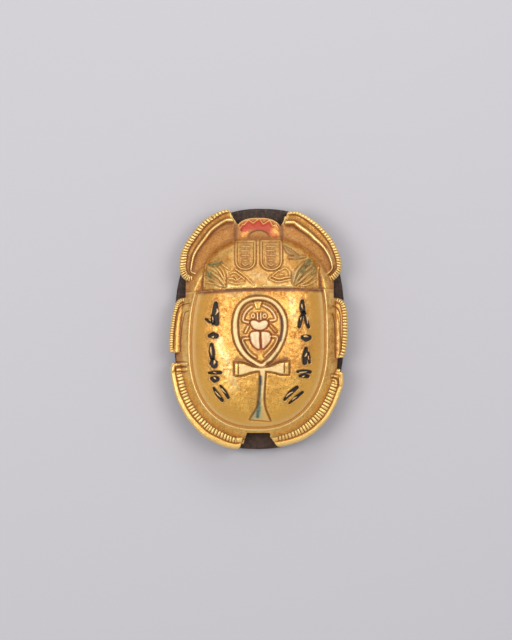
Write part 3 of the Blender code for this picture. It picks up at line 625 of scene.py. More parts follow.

# Rows of shallow dark strokes down both wing cases, each with a raised ridge in it painted pale as a
# highlight, and painted shade round each
signs = {"widen": 1.3, "depth": 0.85, "ridge": 0.7, "ridgeShare": 0.25, "from": (0.12, 0.4),
         "to": (0.55, 0.85), "aside": 0.16, "halo": 0.35}
signStrokes = [[(-21.2, 12.6), (-20.9, 3), 2.7], [(-26.2, 4.9), (-22.4, 3.4), 1.5],
               [(-23.2, 6.6), (-22.6, 2.6), 1.4], [(-24.3, -3.4), (-21, -3.5), 2.5],
               [(-23.3, -7.8), (-22.9, -14.2), 2.4], [(-22.6, -15.6), (-22, -17.8), 3.4],
               [(-24.6, -21.8), (-18.8, -21.6), 1.5], [(-23, -24.6), (-20.8, -24.8), 2.8],
               [(-22.2, -29.4), (-18, -35.4), 1.7], [(-18.8, -28.2), (-15, -34), 1.5],
               [(21.8, 13.8), (22.3, 7.6), 2.2], [(22.2, 8.4), (20.2, 1.2), 1.6],
               [(22.8, 8.4), (24.8, 1), 1.6], [(22, -4.2), (25, -4.3), 2.7],
               [(23.6, -9.8), (22.9, -16.6), 2.4], [(24.9, -11.8), (25.3, -16.6), 1.4],
               [(19.4, -21.1), (25.6, -21.3), 1.7], [(20.6, -23.2), (24.4, -23.4), 2],
               [(12.9, -35), (19, -29), 1.9], [(15.3, -36.8), (21.8, -31.4), 1.4]]
dashes = np.random.default_rng(11)
for p, q, wide in signStrokes:
    path = np.array([p, q], float)
    wide = wide * signs["widen"]
    length = np.hypot(*(path[1] - path[0]))
    along = (path[1] - path[0]) / length
    across = np.array([-along[1], along[0]])
    bend = dashes.uniform(-0.12, 0.12) * wide
    path = np.array([path[0], 0.5 * (path[0] + path[1]) + across * bend, path[1]])
    # painted shade round the stroke
    wash(curve(path, 4), wide + 0.9, "umberAndShade", signs["halo"])
    stroke(curve(path, 4), [wide * 0.6, wide * 1.05, wide * 0.8], -signs["depth"], 0.5, "dark", -0.1)
    side = 1 if dashes.uniform() < 0.5 else -1
    aside = across * side * signs["aside"] * wide
    first, last = dashes.uniform(*signs["from"]), dashes.uniform(*signs["to"])
    ends = ((first, 1), (last, dashes.uniform(-0.6, 0.8)))
    a, b = [np.array(p) + along * length * t + aside * k for t, k in ends]
    bowed = 0.5 * (a + b) + aside * dashes.uniform(0.2, 0.9)
    ridgeWide = max(0.5, signs["ridgeShare"] * wide)
    # the ridge painted pale as a painted highlight
    stroke(curve([a, bowed, b], 4), [0.7 * ridgeWide, 1.2 * ridgeWide, 0.5 * ridgeWide], signs["ridge"],
           0.3, "glint", strength=0.95)
stroke(curve([(-27.2, -28.4), (-25.6, -29.8), (-23.9, -32.2)], 5), 0.35, -0.18, 0.3)

# Thorax: two upright frames, eye motifs and open flowers
frameLook = {"raise": 0.5, "band": 0.7, "moat": 0.42}
for cx, top, low, half in ((-6.5, 43.9, 29.6, 4.7), (6.3, 44.1, 29.4, 5)):
    wash([(cx, top - 2.5), (cx, low + 3.4)], 5.6, "umberAndShade", 0.4)
    arc = ovalPoint(np.linspace(pi, 2 * pi, 14), half, 4.6, 2.2) + np.array([cx, low + 4.6])
    outline = np.vstack([[(cx - half, top)], arc, [(cx + half, top)]])
    stroke(np.vstack([outline, outline[:1]]), frameLook["band"], frameLook["raise"], 0.35, None,
           frameLook["moat"])
    for grown in (0.86, 1.13):
        wash((outline - [cx, 36.8]) * [grown, 0.5 + 0.5 * grown] + [cx, 36.8], 0.3, "umberAndShade", 0.7)
    arc = ovalPoint(np.linspace(pi, 2 * pi, 14), half - 1.5, 3.4, 2.2) + np.array([cx, low + 4.9])
    outline = np.vstack([[(cx - half + 1.5, top - 1.3)], arc, [(cx + half - 1.5, top - 1.3)]])
    stroke(np.vstack([outline, outline[:1]]), 0.45, -0.3, 0.25)
    for k, (y, reach) in enumerate(((41.2, 2.1), (39, 2.2), (36.6, 1.9), (34.2, 1.2))):
        stroke([(cx - reach, y), (cx + reach - 0.6 * (k % 2), y - 0.2)], 0.6, 0.32, 0.25, None, 0.2)
    for dx, dy in ((-1.7, 37.8), (1.5, 37.6), (-1.3, 35.2), (1.6, 35), (0.3, 40.2)):
        stroke([(cx + dx, dy), (cx + dx + 0.4, dy + 0.5)], 0.5, 0.35, 0.25)
    stroke(curve([(cx - 1.5, 32.4), (cx - 0.2, 31.4), (cx + 1.3, 32.2)], 4), 0.7, 0.4, 0.3, None, 0.2)
eyes = {"raise": 0.42, "line": 0.7, "moat": 0.22,
        "left": ([(-14.2, 27.3), (-12.8, 28.1), (-11.2, 27.9), (-9.2, 26.4), (-6.8, 24.6)],
                 [(-14.7, 25), (-12.6, 24.9), (-11.2, 24.1), (-9, 25.4)],
                 [(-14.6, 23.4), (-11.4, 22.6), (-7.2, 22.9)], [(-11.4, 25.6), (-10.8, 24.8)]),
        "right": ([(10.2, 28.8), (13.2, 30.2), (15.3, 28.6), (15.6, 26.6)],
                  [(6.8, 26), (10.2, 24.8), (12.8, 25.4), (15.7, 25.8)],
                  [(5.8, 24.8), (8.4, 23.6), (10.8, 23.5), (15.8, 24.5)], [(10.6, 26.8), (12.2, 26.9)])}
for side in ("left", "right"):
    for knots in eyes[side]:
        stroke(curve(knots, 5), eyes["line"], eyes["raise"], 0.35, None, eyes["moat"])
for knots in ([(-11.6, 29.8), (-8.2, 27.4), (-5, 24.6), (-2.3, 21.9)],
              [(10.2, 29.4), (7.6, 27), (5.4, 25.2)]):
    stroke(curve(knots, 5), 0.6, 0.3, 0.3, None, 0.25)
for x, low, high in ((-15.9, 21, 27.2), (16.6, 22.4, 28.4)):
    stroke([(x, high), (x - 0.1, low)], 0.5, -0.3, 0.3)
    # brown painted shade along the sunk line
    wash([(x, high), (x - 0.1, low)], 0.4, "umberAndShade", 0.6)

# Flowers: fans of fine blades that open from a low corner, some washed green
blades = {"raise": 0.4, "moat": 0.3,
          "left": [((-16.6, 21.2), (-19.4, 25.2), (-25.6, 29.6), 1.5, "green", 0.25),
                   ((-17.2, 21), (-21.2, 23), (-26.4, 26.4), 1.2, "green", 0.45),
                   ((-18.4, 20.9), (-21.6, 22.4), (-26.6, 23.2), 0.9, None, 0),
                   ((-16.4, 22.6), (-18.8, 27.6), (-22.2, 31.6), 1.1, None, 0),
                   ((-16.4, 24.4), (-17.6, 28.6), (-19.6, 31.2), 0.8, None, 0),
                   ((-14.8, 29.6), (-16.8, 31), (-18.8, 32.8), 0.7, None, 0),
                   ((-24.6, 32.2), (-21.6, 32.3), (-18.6, 32.9), 1.9, "green", 0.95),
                   ((-25.8, 28.8), (-24.9, 27.4), (-24, 26), 2, "green", 0.9)],
          "right": [((18, 22), (21, 27.2), (26.6, 31.6), 1.6, "moss", 0.6),
                    ((18.4, 21.8), (22.6, 25.6), (27.8, 29.8), 1.4, "moss", 0.5),
                    ((19.6, 21.6), (24.2, 23.6), (28, 27.2), 1.1, "moss", 0.3),
                    ((21, 21.4), (25.2, 22.2), (29, 24.6), 0.9, None, 0),
                    ((17.4, 23.2), (18.8, 28.4), (22.6, 33), 1.3, "moss", 0.5),
                    ((13.2, 40.6), (16, 38.2), (19.4, 36.4), 2.4, "umberAndShade", 0.6),
                    ((15.4, 35.6), (18.6, 35.6), (23.4, 36.2), 1.5, "umberAndShade", 0.5),
                    ((23.2, 31.8), (24.4, 33), (25.4, 34), 2.2, "green", 0.9),
                    ((27.2, 27.4), (27.7, 29.4), (27.5, 31.6), 1.6, "green", 0.9),
                    ((21.7, 28.4), (22.3, 29.6), (23, 30.6), 1.8, "green", 0.8)]}
washes("moss", ([(19.6, 26), (22.6, 29.4), (25.4, 32.4)], 5.6, 0.5),
       ([(13.6, 41.6), (15.6, 38.6), (19, 35.6)], 4, 0.35), ([(-23.8, 31.4), (-20.6, 31.2)], 1.6, 0.5),
       ([(-24.6, 28), (-22.6, 25)], 2.6, 0.35))
for side in ("left", "right"):
    for a, b, c, wide, paint, strong in blades[side]:
        stroke(curve([a, b, c], 6), [0.5 * wide, wide, 0.8 * wide, 0.4 * wide], blades["raise"], 0.35, None,
               blades["moat"])
        if paint:
            wash(curve([a, b, c], 6), 0.7 * wide, paint, strong)
for x, top, low in ((-26.9, 32.4, 21), (29.4, 31, 21.6)):
    stroke([(x + 0.6, top), (x, 0.5 * (top + low)), (x, low)], 0.5, 0.3, 0.3, None, 0.3)

# Painted highlights along the thorax's lower edge and on the wing cases, where the lamps glare
washes("shine", ([(-15.2, 21.5), (-12.4, 21.4)], 1.2, 1), ([(-9, 21.6), (-1, 22.2)], 0.9, 0.55),
       ([(15.5, 22.2), (15.7, 23.8)], 1, 1), ([(17.6, 24.4), (18.1, 28.6)], 1.2, 0.9),
       ([(3.4, 22.9), (5.6, 23)], 1.3, 0.8), ([(8, 22.4), (14, 22.6)], 0.8, 0.55),
       ([(-22.4, 21.4), (-17.6, 21.4)], 0.8, 0.5), ([(-2.4, 27), (1, 25.8)], 4.6, 0.6),
       ([(-19.4, -5.2), (-18.6, -10.8)], 3.4, 0.9),
       ([(-16.8, -13.4), (-15, -22), (-12.4, -29)], 5, 0.62),
       ([(16.4, 16), (16.9, 9), (17.6, 4.6)], 3, 0.6), ([(-16.4, 17), (-7.4, 17.3)], 1.6, 0.5))
shineBreak = smoothStep(0.28, 0.62, noise(gx, gy, 0.8, 51) * 0.5 + noise(gx, gy, 2, 52) * 0.5)
paintMaps["shine"] = blur(paintMaps["shine"], 0.35 / pitch) * (0.35 + 0.65 * shineBreak)
print("thorax carved")

# The wing cases' sides are rubbed smooth, and painted lighter there as painted light on their falling
# slopes
lay("rubbedAndLitFlank", smoothStep(-12, -5, rimD) * (gy < 18) * (rimD < 0.5))

# Painted shade under the step, round its corners, in the gaps, beside the shovel and over the shoulders
stepX = np.linspace(-29, 31.5, 24)
washes("umberAndShade", (np.stack([stepX, stepLine(stepX) - 0.9], -1), 1.7, 1),
       (curve([(-33, 12), (-32.2, 16), (-31, 18.4), (-29, 19.5)], 5), 0.8, 0.6),
       (curve([(34, 8), (33.2, 13), (32.2, 17), (30, 19.4), (27, 19.9)], 5), 0.8, 0.6),
       ([(-10.9, 50.8), (-11.227, 45.6)], 1.6, 0.75), ([(10.9, 50.8), (11.227, 45.6)], 1.6, 0.75),
       ([(-5.4, 44.9), (-4.4, 47.8), (0, 49.4)], 0.5, 0.4),
       ([(-31.4, 27.6), (-32.6, 30.6), (-31.6, 34), (-28, 38.8)], 0.6, 0.5),
       ([(33.6, 28.4), (34.4, 32), (32.6, 36.6)], 0.6, 0.5))
# painted shade in the gaps between the legs and over the hollow shoulders
gapShade = np.maximum(smoothStep(13, 15.5, gy) * smoothStep(26, 22, gy),
                    smoothStep(-11, -13, gy) * smoothStep(-18.5, -16.5, gy))
gapShade = gapShade * smoothStep(2, 3, rimD) * (1 - legMap)
lay("clayAndShade", np.maximum(0.85 * gapShade, 0.72 * shoulderShade * (1 - legMap)))
wash([(-3, 46.6), (3.4, 46.6)], 5.6, "clayAndShade", 0.9)
# painted highlight along the right front leg's ridge
wash([(33.9, 39.6), (35.8, 36), (36.9, 32.4)], 1.3, "light", 0.9)
# painted light over the lower wing cases, paler towards the tail
wash([(-16, -28), (-12, -35), (-4, -40), (6, -40), (13, -35), (17, -27)], 9,
     "paintedLightPool", 0.85)
paintMaps["paintedLightPool"] = blur(paintMaps["paintedLightPool"], 2.2 / pitch)
lay("paintedLightPool", 0.4 * smoothStep(-12, -28, gy))
# painted shade, duller as well, over the middle of the thorax's top
thoraxTopShade = smoothStep(23, 17, np.abs(gx - 1) + np.clip(gy - 34, 0, 9))
lay("clayAndShade", 0.34 * smoothStep(20, 24, gy) * smoothStep(46.5, 43, gy) * thoraxTopShade)
# painted highlight along the rim bead
lay("light", bell(rimD / 0.4) * (gy < stepY - 1) * (0.35 + 0.5 * noise(gx, gy, 4, 71)))
# painted highlight along smooth bands of the middle and right hind legs
for knots in ([(-36.2, 14), (-36.8, 2), (-36.7, -14), (-35.4, -24)], [(36.4, 17), (36.3, 12.5)],
              [(36.2, -18.5), (36.5, -23), (35.6, -27)]):
    wash(curve(knots, 5), 2.4, "pad", 0.7)

# A cast and hand-finished surface: slow swells, small dents, a nick on the left front leg
rough = (1 - 0.85 * paintMaps["rubbedAndLitFlank"]) * smoothStep(0.5, -1, rimD)
height += rough * (0.16 * (noise(gx, gy, 1.1, 21) - 0.5) + 0.22 * (noise(gx, gy, 2.6, 22) - 0.5))
height += 0.10 * (noise(gx, gy, 1.6, 23) - 0.5) * (1 - rough)
height -= 0.9 * smoothStep(1.5, 0.3, np.hypot((gx + 23.6) / 1.3, gy - 56.2))

# Brown wash and painted shade in hollows, painted highlight on raised parts, from how far each point lies
# below or above its neighbours
fine = blur(height, 0.35 / pitch) - height
middle = blur(height, 0.9 / pitch) - height
wide = blur(height, 2.6 / pitch) - height
onThorax = smoothStep(0.5, -1.5, thoraxD) * (gy > 20)
onCases = smoothStep(0.5, -1.5, rimD) * (gy < 20)
shadeWashShare = 1 - 0.45 * onThorax - 0.3 * onCases
shadeWashShare = shadeWashShare * (1 - 0.7 * smoothStep(-1.1, -1.5, rimD) * smoothStep(-5, -3, rimD) * (gy < 19))
shadeWashShare = shadeWashShare * (1 - 0.7 * bell(thoraxD / 1.4) * smoothStep(26, 31, gy))
insideBead = smoothStep(0.1, -0.3, rimD) * smoothStep(-4, -2.4, rimD) * (gy < stepY - 1.2)
shadeWashShare = shadeWashShare * (1 - 0.6 * insideBead)
washAndShade = np.maximum(shadeWashShare * np.clip(2.6 * fine + 1.2 * middle, 0, 1), 0.8 * ribGapShade)
nearDark = np.clip(3 * blur(paintMaps["dark"], 0.6 / pitch), 0, 1)
plain = np.maximum(besideHead, bell(thoraxD / 1.4) * smoothStep(30, 34, gy))
plain = np.maximum(plain, smoothStep(1.3, 1.1, bossR))
paleSpeckAndHighlight = (1 - nearDark) * (1 - 0.9 * plain) * np.clip(-2.8 * fine - 0.9 * middle, 0, 1)
mottleAndRecessShade = np.clip(0.32 * wide, 0, 1) * (1 - 0.6 * insideBead)


# Mesh: the sheet is cut along the beetle's outline, walled down to the plate and closed below
def sculptMesh(name, low):
    inside = goldD < -0.02
    quad = inside[:-1, :-1] | inside[1:, :-1] | inside[:-1, 1:] | inside[1:, 1:]
    rows, cols = np.nonzero(quad)
    stride = gx.shape[1]
    corners = np.stack([rows * stride + cols, rows * stride + cols + 1, (rows + 1) * stride + cols + 1,
                        (rows + 1) * stride + cols], -1)
    used, faces = np.unique(corners, return_inverse=True)
    faces = faces.reshape(-1, 4)
    px, py = gx.ravel()[used].copy(), gy.ravel()[used].copy()
    slopeY, slopeX = np.gradient(goldD, pitch)
    out = goldD.ravel()[used] > -0.02
    for _ in range(4):  # draws the outer corners in to the outline
        d, nx, ny = (sample(field, px[out], py[out]) for field in (goldD, slopeX, slopeY))
        size = np.maximum(np.hypot(nx, ny), 0.5)
        step = np.clip((d + 0.02) / size, -pitch, pitch)
        px[out] -= step * nx / size
        py[out] -= step * ny / size
    pz = np.clip(sample(height, px, py), low + 1, body["highest"])
    edges = np.concatenate([faces[:, [0, 1]], faces[:, [1, 2]], faces[:, [2, 3]], faces[:, [3, 0]]])
    key = np.sort(edges, 1)
    _, index, count = np.unique(key[:, 0] * len(used) + key[:, 1], return_inverse=True, return_counts=True)
    border = edges[count[index] == 1]
    n = len(used)
    points = np.concatenate([np.stack([px, py, pz], -1), np.stack([px, py, np.full(n, low)], -1)])
    points[:, 2] += plateTop
    walls = np.stack([border[:, 1], border[:, 0], border[:, 0] + n, border[:, 1] + n], -1)
    mesh = bpy.data.meshes.new(name)
    faces = np.concatenate([faces, faces[:, ::-1] + n, walls])
    mesh.from_pydata((points * mm).tolist(), [], faces.tolist())
    return mesh


def addMaps(mesh, maps, low):
    # low gives some maps another value along the foot of the walls
    co = np.empty(len(mesh.vertices) * 3, np.float32)
    mesh.vertices.foreach_get("co", co)
    co = co.reshape(-1, 3) / mm
    for name, field in maps.items():
        values = sample(field, co[:, 0], co[:, 1])
        if name in low:
            values = np.where(co[:, 2] < plateTop + 0.6, low[name], values)
        layer = mesh.attributes.new(name, "FLOAT", "POINT")
        layer.data.foreach_set("value", values.astype(np.float32))


def link(mesh, name):
    obj = bpy.data.objects.new(name, mesh)
    bpy.context.scene.collection.objects.link(obj)
    return obj


castingFoot = 0.3  # the casting's underside stands this far over the plate
scarab = link(sculptMesh("scarabCasting", castingFoot), "scarabCasting")
faceCount = sum(len(p.vertices) - 2 for p in scarab.data.polygons)
mostFaces = 188000
if faceCount > mostFaces:
    slim = scarab.modifiers.new("slim", "DECIMATE")
    slim.ratio = mostFaces / faceCount
    depsgraph = bpy.context.evaluated_depsgraph_get()
    thin = bpy.data.meshes.new_from_object(scarab.evaluated_get(depsgraph))
    scarab.modifiers.clear()
    scarab.data = thin
bm = bmesh.new()
bm.from_mesh(scarab.data)
bmesh.ops.dissolve_degenerate(bm, edges=bm.edges, dist=0.01 * mm)
bmesh.ops.recalc_face_normals(bm, faces=bm.faces)
for face in bm.faces:
    face.smooth = True
for edge in bm.edges:
    edge.smooth = min(v.co.z for v in edge.verts) >= (plateTop + castingFoot + 0.01) * mm
print("open edges", sum(1 for e in bm.edges if len(e.link_faces) != 2))
bm.to_mesh(scarab.data)
bm.free()
formMaps = {"washAndShade": washAndShade, "paleSpeckAndHighlight": paleSpeckAndHighlight, "mottleAndRecessShade": mottleAndRecessShade, "insideBead": insideBead}
# painted shade along the foot of the walls, with no painted highlights there
addMaps(scarab.data, {**paintMaps, **formMaps},
        {"washAndShade": 0.75, "paleSpeckAndHighlight": 0, "pad": 0, "mottleAndRecessShade": 0.6, "light": 0})
print("scarab triangles", sum(len(p.vertices) - 2 for p in scarab.data.polygons))


# Dark oval plate with a softly rounded, slightly uneven edge
plate = {"length": 121, "width": 85.6, "thick": plateTop, "shift": 0.5, "round": 1.4, "sides": 288,
         "uneven": 0.22, "square": {"headLeft": 2.35, "headRight": 2.6, "tailLeft": 2.7, "tailRight": 2.3}}


def buildPlate():
    bm = bmesh.new()
    angles = np.linspace(0, 2 * pi, plate["sides"], endpoint=False)
    rings = []
    right, ahead = np.cos(angles) >= 0, np.sin(angles) >= 0
    headSquare = np.where(right, plate["square"]["headRight"], plate["square"]["headLeft"])
    tailSquare = np.where(right, plate["square"]["tailRight"], plate["square"]["tailLeft"])
    square = np.where(ahead, headSquare, tailSquare)
    r = plate["round"]
    profile = [(0.9 * r, 0), (0.35 * r, 0.12 * r), (0.05 * r, 0.5 * r), (0, 0.9 * r)]
    profile += [(0, z) for z in np.linspace(1.2 * r, plate["thick"] - 1.3 * r, 5)]
    profile += [(r * (1 - np.cos(t)), plate["thick"] - r + r * np.sin(t))
                for t in np.linspace(0.1, pi / 2, 7)]
    profile += [(r + inward, plate["thick"]) for inward in (1.2, 4, 9, 18)]
    for inset, z in profile:
        p = ovalPoint(angles, plate["width"] / 2 - inset, plate["length"] / 2 - inset, square)
        onEdge = 1 if inset < r + 1 else 0
        lump = onEdge * plate["uneven"] * noise(p[:, 0] + 3 * z, p[:, 1] + 5 * z, 4, 31)
        size = np.hypot(p[:, 0], p[:, 1])
        p = p * (1 - lump / size)[:, None]
        drop = 0.12 * noise(p[:, 0], p[:, 1], 3, 33) if z > plate["thick"] - 0.5 else 0 * size
        rings.append([bm.verts.new(((x + plate["shift"]) * mm, y * mm, (z - d) * mm))
                      for (x, y), d in zip(p, drop)])
    for a, b in zip(rings, rings[1:]):
        for i in range(plate["sides"]):
            j = (i + 1) % plate["sides"]
            bm.faces.new((a[i], a[j], b[j], b[i]))
    bm.faces.new(list(reversed(rings[0])))
    bm.faces.new(rings[-1])
    mesh = bpy.data.meshes.new("ovalPlate")
    bm.to_mesh(mesh)
    bm.free()
    mesh.shade_smooth()
    mesh.set_sharp_from_angle(angle=1)
    return link(mesh, "ovalPlate")


ovalPlate = buildPlate()
# painted light: the plate's tail end is paler
addMaps(ovalPlate.data, {"tailPaintedLight": smoothStep(-50, -55, gy)}, {})
print("plate built")


# Node maths in plain expressions
class Sock:
    def __init__(self, tree, socket):
        self.tree, self.socket = tree, socket

    def node(self, kind, settings=None, **values):
        made = self.tree.nodes.new(kind)
        for key, value in (settings or {}).items():
            setattr(made, key, value)
        for key, value in values.items():
            spot = made.inputs[int(key[2:]) if key[2:].isdigit() else key.replace("_", " ")]
            if isinstance(value, Sock):
                self.tree.links.new(value.socket, spot)
            else:
                spot.default_value = value
        return made

    def out(self, made, name=0):
        return Sock(self.tree, made.outputs[name])

    def maths(self, operation, first, second=0, clamp=False):
        return self.out(self.node("ShaderNodeMath", {"operation": operation, "use_clamp": clamp}, in0=first,
                                  in1=second))

    def __add__(self, other):
        return self.maths("ADD", self, other)

    __radd__ = __add__

    def __sub__(self, other):
        return self.maths("SUBTRACT", self, other)

    def __rsub__(self, other):
        return self.maths("SUBTRACT", other, self)

    def __mul__(self, other):
        return self.maths("MULTIPLY", self, other)

    __rmul__ = __mul__

    def clamp(self):
        return self.maths("ADD", self, 0, True)

    def band(self, low, high):
        return self.out(self.node("ShaderNodeMapRange", {"interpolation_type": "SMOOTHSTEP"}, Value=self,
                                  From_Min=low, From_Max=high))

    def attribute(self, name):
        return self.out(self.node("ShaderNodeAttribute", {"attribute_name": name}), "Fac")

    def mix(self, tone, other):
        # colour mix, from tone to other by this factor
        return self.out(self.node("ShaderNodeMix", {"data_type": "RGBA"}, in0=self, in6=tone, in7=other), 2)


def newMaterial(name):
    mat = bpy.data.materials.new(name)
    mat.use_nodes = True
    tree = mat.node_tree
    shader = tree.nodes["Principled BSDF"]
    coords = Sock(tree, tree.nodes.new("ShaderNodeTexCoord").outputs["Object"])
    return mat, tree, shader, coords


def rgb(r, g, b):
    # from the 0 to 255 values of a screen to linear light
    return tuple((c / 255 / 12.92 if c / 255 <= 0.04045 else ((c / 255 + 0.055) / 1.055) ** 2.4)
                 for c in (r, g, b)) + (1,)


def speckle(coords, scale, detail=4, roughness=0.55, seed=0):
    return coords.out(coords.node("ShaderNodeTexNoise", {"noise_dimensions": "4D"}, Vector=coords, W=seed,
                                  Scale=scale, Detail=detail, Roughness=roughness), "Fac")


goldLook = {"light": (240, 182, 90), "deep": (200, 130, 44), "rubbedAndLitFlank": (240, 176, 76), "wash": (112, 56, 18),
            "mottleAndRecessShade": (186, 112, 38), "paleSpeckAndHighlight": (254, 224, 144), "cream": (246, 213, 150),
            "red": (180, 50, 4), "dark": (24, 15, 9), "green": (78, 90, 42), "teal": (44, 98, 92),
            "blue": (40, 72, 98), "mint": (148, 166, 134), "rust": (176, 72, 32), "glint": (240, 204, 148),
            "shine": (255, 238, 180), "umberAndShade": (120, 64, 24), "clayAndShade": (164, 104, 40),
            "speck": (104, 54, 16), "olive": (176, 122, 42), "pad": (252, 216, 136), "lit": (255, 232, 164),
            "moss": (112, 96, 50), "ivory": (250, 218, 172), "pale": (255, 194, 84), "bead": (206, 152, 78),
            "metal": 0.72, "rough": 0.4, "grain": 0.4, "grainDepth": 0.0002, "coat": 0.1, "coatRough": 0.3,
            "leastCover": {"red": 0.95, "ivory": 0.6}}


def goldMaterial():
    mat, tree, shader, coords = newMaterial("agedGoldPaint")
    get = {name: coords.attribute(name) for name in (*paintNames, *formMaps)}
    look = goldLook
    patchy = speckle(coords, 300, 5, 0.62)
    broad = speckle(coords, 70, 3, 0.5, 4)
    fineGrain = speckle(coords, 1100, 3, 0.6, 2)
    darkSpecks = speckle(coords, 1500, 2, 0.6, 7).band(0.52, 0.64)
    paleSpecks = speckle(coords, 1300, 2, 0.6, 9).band(0.54, 0.66)
    patches, wear = patchy.band(0.4, 0.6), patchy.band(0.3, 0.6)
    unrubbed = 1 - 0.8 * get["rubbedAndLitFlank"]
    # each layer is a colour of the look and its share of the surface; several lay painted shade, painted
    # light or painted highlights
    layers = [("rubbedAndLitFlank", get["rubbedAndLitFlank"] * 0.8), ("mottleAndRecessShade", broad.band(0.45, 0.75) * 0.3),
              ("mottleAndRecessShade", get["mottleAndRecessShade"] * 0.9), ("clayAndShade", get["clayAndShade"] * (0.75 + 0.25 * patches)),
              ("pale", get["paintedLightPool"]), ("bead", get["insideBead"] * 0.7),
              ("olive", get["olive"] * (0.6 + 0.4 * patches)), ("speck", darkSpecks * unrubbed * 0.55),
              ("paleSpeckAndHighlight", paleSpecks * unrubbed * (0.4 - 0.35 * get["clayAndShade"])),
              ("pad", get["pad"] * (0.4 + 0.4 * patchy)), ("paleSpeckAndHighlight", get["paleSpeckAndHighlight"] * (0.45 + 0.3 * broad))]
    for name in ("moss", "cream", "ivory", "green", "mint", "teal", "blue", "rust", "red", "umberAndShade"):
        least = look["leastCover"].get(name, 0.72)
        layers.append((name, get[name] * (least + (1 - least) * wear)))
    layers += [("wash", get["washAndShade"] * (0.68 + 0.25 * fineGrain)), ("shine", get["shine"] * 0.48),
               ("lit", get["light"] * (0.5 + 0.5 * patchy)), ("dark", get["dark"]), ("glint", get["glint"])]
    tone = (patchy.band(0.36, 0.66) * unrubbed).mix(rgb(*look["deep"]), rgb(*look["light"]))
    for name, share in layers:
        tone = share.clamp().mix(tone, rgb(*look[name]))
    tree.links.new(tone.socket, shader.inputs["Base Color"])
    painted = sum(get[name] for name in ("cream", "red", "dark", "green", "mint", "teal", "blue", "rust",
                                         "umberAndShade", "clayAndShade", "moss", "ivory")).clamp()
    metal = (look["metal"] * (1 - 0.85 * painted) * (1 - 0.7 * get["washAndShade"]) * (1 - 0.5 * get["shine"])
             * (1 - 0.72 * get["insideBead"])).clamp()
    tree.links.new(metal.socket, shader.inputs["Metallic"])
    rough = (look["rough"] + 0.16 * (patchy - 0.5) + 0.14 * get["washAndShade"] - 0.06 * get["rubbedAndLitFlank"]
             + 0.15 * get["dark"] - 0.05 * get["paleSpeckAndHighlight"] + 0.2 * get["clayAndShade"] - 0.12 * get["shine"]).clamp()
    tree.links.new(rough.socket, shader.inputs["Roughness"])
    shader.inputs["Coat Weight"].default_value = look["coat"]
    shader.inputs["Coat Roughness"].default_value = look["coatRough"]
    lumps = (patchy * 0.6 + fineGrain * 0.4) * unrubbed
    bump = coords.node("ShaderNodeBump", None, Strength=look["grain"], Distance=look["grainDepth"],
                       Height=lumps)
    tree.links.new(bump.outputs["Normal"], shader.inputs["Normal"])
    return mat


plateLook = {"dark": (44, 32, 25), "brown": (84, 60, 46), "black": (20, 16, 15), "dust": (118, 100, 88),
             "rough": 0.55, "shine": 0.3, "grain": 0.5, "grainDepth": 0.0002}


def plateMaterial():
    mat, tree, shader, coords = newMaterial("speckledDarkPaint")
    look = plateLook
    shader.inputs["Specular IOR Level"].default_value = look["shine"]
    grains = speckle(coords, 620, 4, 0.7)
    cloud = speckle(coords, 130, 3, 0.5, 3)
    tone = grains.band(0.42, 0.68).mix(rgb(*look["dark"]), rgb(*look["brown"]))
    tone = cloud.band(0.5, 0.75).mix(tone, rgb(*look["black"]))
    tone = (speckle(coords, 1500, 2, 0.6, 5).band(0.58, 0.7) * 0.5).mix(tone, rgb(*look["dust"]))
    # paler brown towards the tail as painted light
    tone = (coords.attribute("tailPaintedLight") * (0.25 + 0.5 * grains.band(0.4, 0.6))).mix(tone, rgb(*look["brown"]))
    tree.links.new(tone.socket, shader.inputs["Base Color"])
    tree.links.new((look["rough"] + 0.2 * (grains - 0.5)).socket, shader.inputs["Roughness"])
    bump = coords.node("ShaderNodeBump", None, Strength=look["grain"], Distance=look["grainDepth"],
                       Height=grains)
    tree.links.new(bump.outputs["Normal"], shader.inputs["Normal"])
    return mat


scarab.data.materials.append(goldMaterial())
ovalPlate.data.materials.append(plateMaterial())
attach(scarab, "root")
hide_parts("scarab")
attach(ovalPlate, "root")
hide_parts("base")
print("materials set")


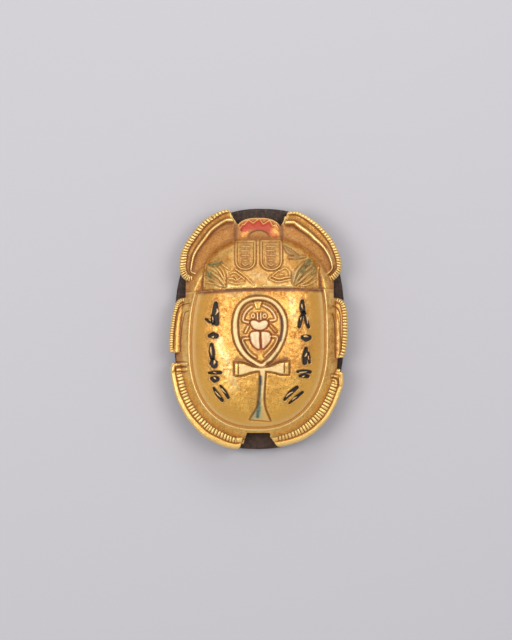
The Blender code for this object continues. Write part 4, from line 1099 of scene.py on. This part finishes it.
# Pale floor, soft studio light, and a camera straight above
studio = {"floor": (194, 192, 197), "floorRough": 0.85, "reach": 1.6, "world": (0.93, 0.93, 0.97),
          "worldStrength": 0.58, "aim": (0, 0, 0.02)}
floorMesh = bpy.data.meshes.new("studioFloor")
floorMesh.from_pydata([(studio["reach"] * x, studio["reach"] * y, 0) for x,
                       y in ((-1, -1), (1, -1), (1, 1), (-1, 1))], [], [(0, 1, 2, 3)])
studioFloor = link(floorMesh, "studioFloor")
floorMat, _, floorShader, _ = newMaterial("paleFloor")
floorShader.inputs["Base Color"].default_value = rgb(*studio["floor"])
floorShader.inputs["Roughness"].default_value = studio["floorRough"]
floorMesh.materials.append(floorMat)


def areaLight(name, place, size, energy, tint):
    data = bpy.data.lights.new(name, "AREA")
    data.shape = "RECTANGLE"
    data.size, data.size_y = size
    data.energy = energy
    data.color = tint
    lamp = bpy.data.objects.new(name, data)
    lamp.location = place
    lamp.rotation_euler = (Vector(studio["aim"]) - Vector(place)).to_track_quat("-Z", "Y").to_euler()
    bpy.context.scene.collection.objects.link(lamp)


areaLight("leftSoftbox", (-0.42, 0.02, 0.80), (0.36, 0.45), 2.4, (1, 0.98, 0.95))
areaLight("rightSoftbox", (0.36, 0.18, 0.84), (0.32, 0.4), 2.1, (1, 0.98, 0.95))
areaLight("headSoftbox", (0, 0.75, 0.55), (0.6, 0.3), 2.3, (1, 0.99, 0.97))
world = bpy.data.worlds.new("softRoom")
world.use_nodes = True
background = world.node_tree.nodes["Background"]
background.inputs["Color"].default_value = (*studio["world"], 1)
background.inputs["Strength"].default_value = studio["worldStrength"]
bpy.context.scene.world = world

view = {"lens": 190, "sensor": 36, "spanMm": 320, "centre": (-1.25, 4.5), "focusHeight": 15}
cameraData = bpy.data.cameras.new("aboveCamera")
cameraData.lens = view["lens"]
cameraData.sensor_width = view["sensor"]
cameraData.sensor_fit = "AUTO"
camera = bpy.data.objects.new("aboveCamera", cameraData)
distance = view["spanMm"] * view["lens"] / view["sensor"]
camera.location = (view["centre"][0] * mm, view["centre"][1] * mm, (view["focusHeight"] + distance) * mm)
bpy.context.scene.collection.objects.link(camera)
bpy.context.scene.camera = camera
bpy.context.scene.view_settings.view_transform = "Standard"
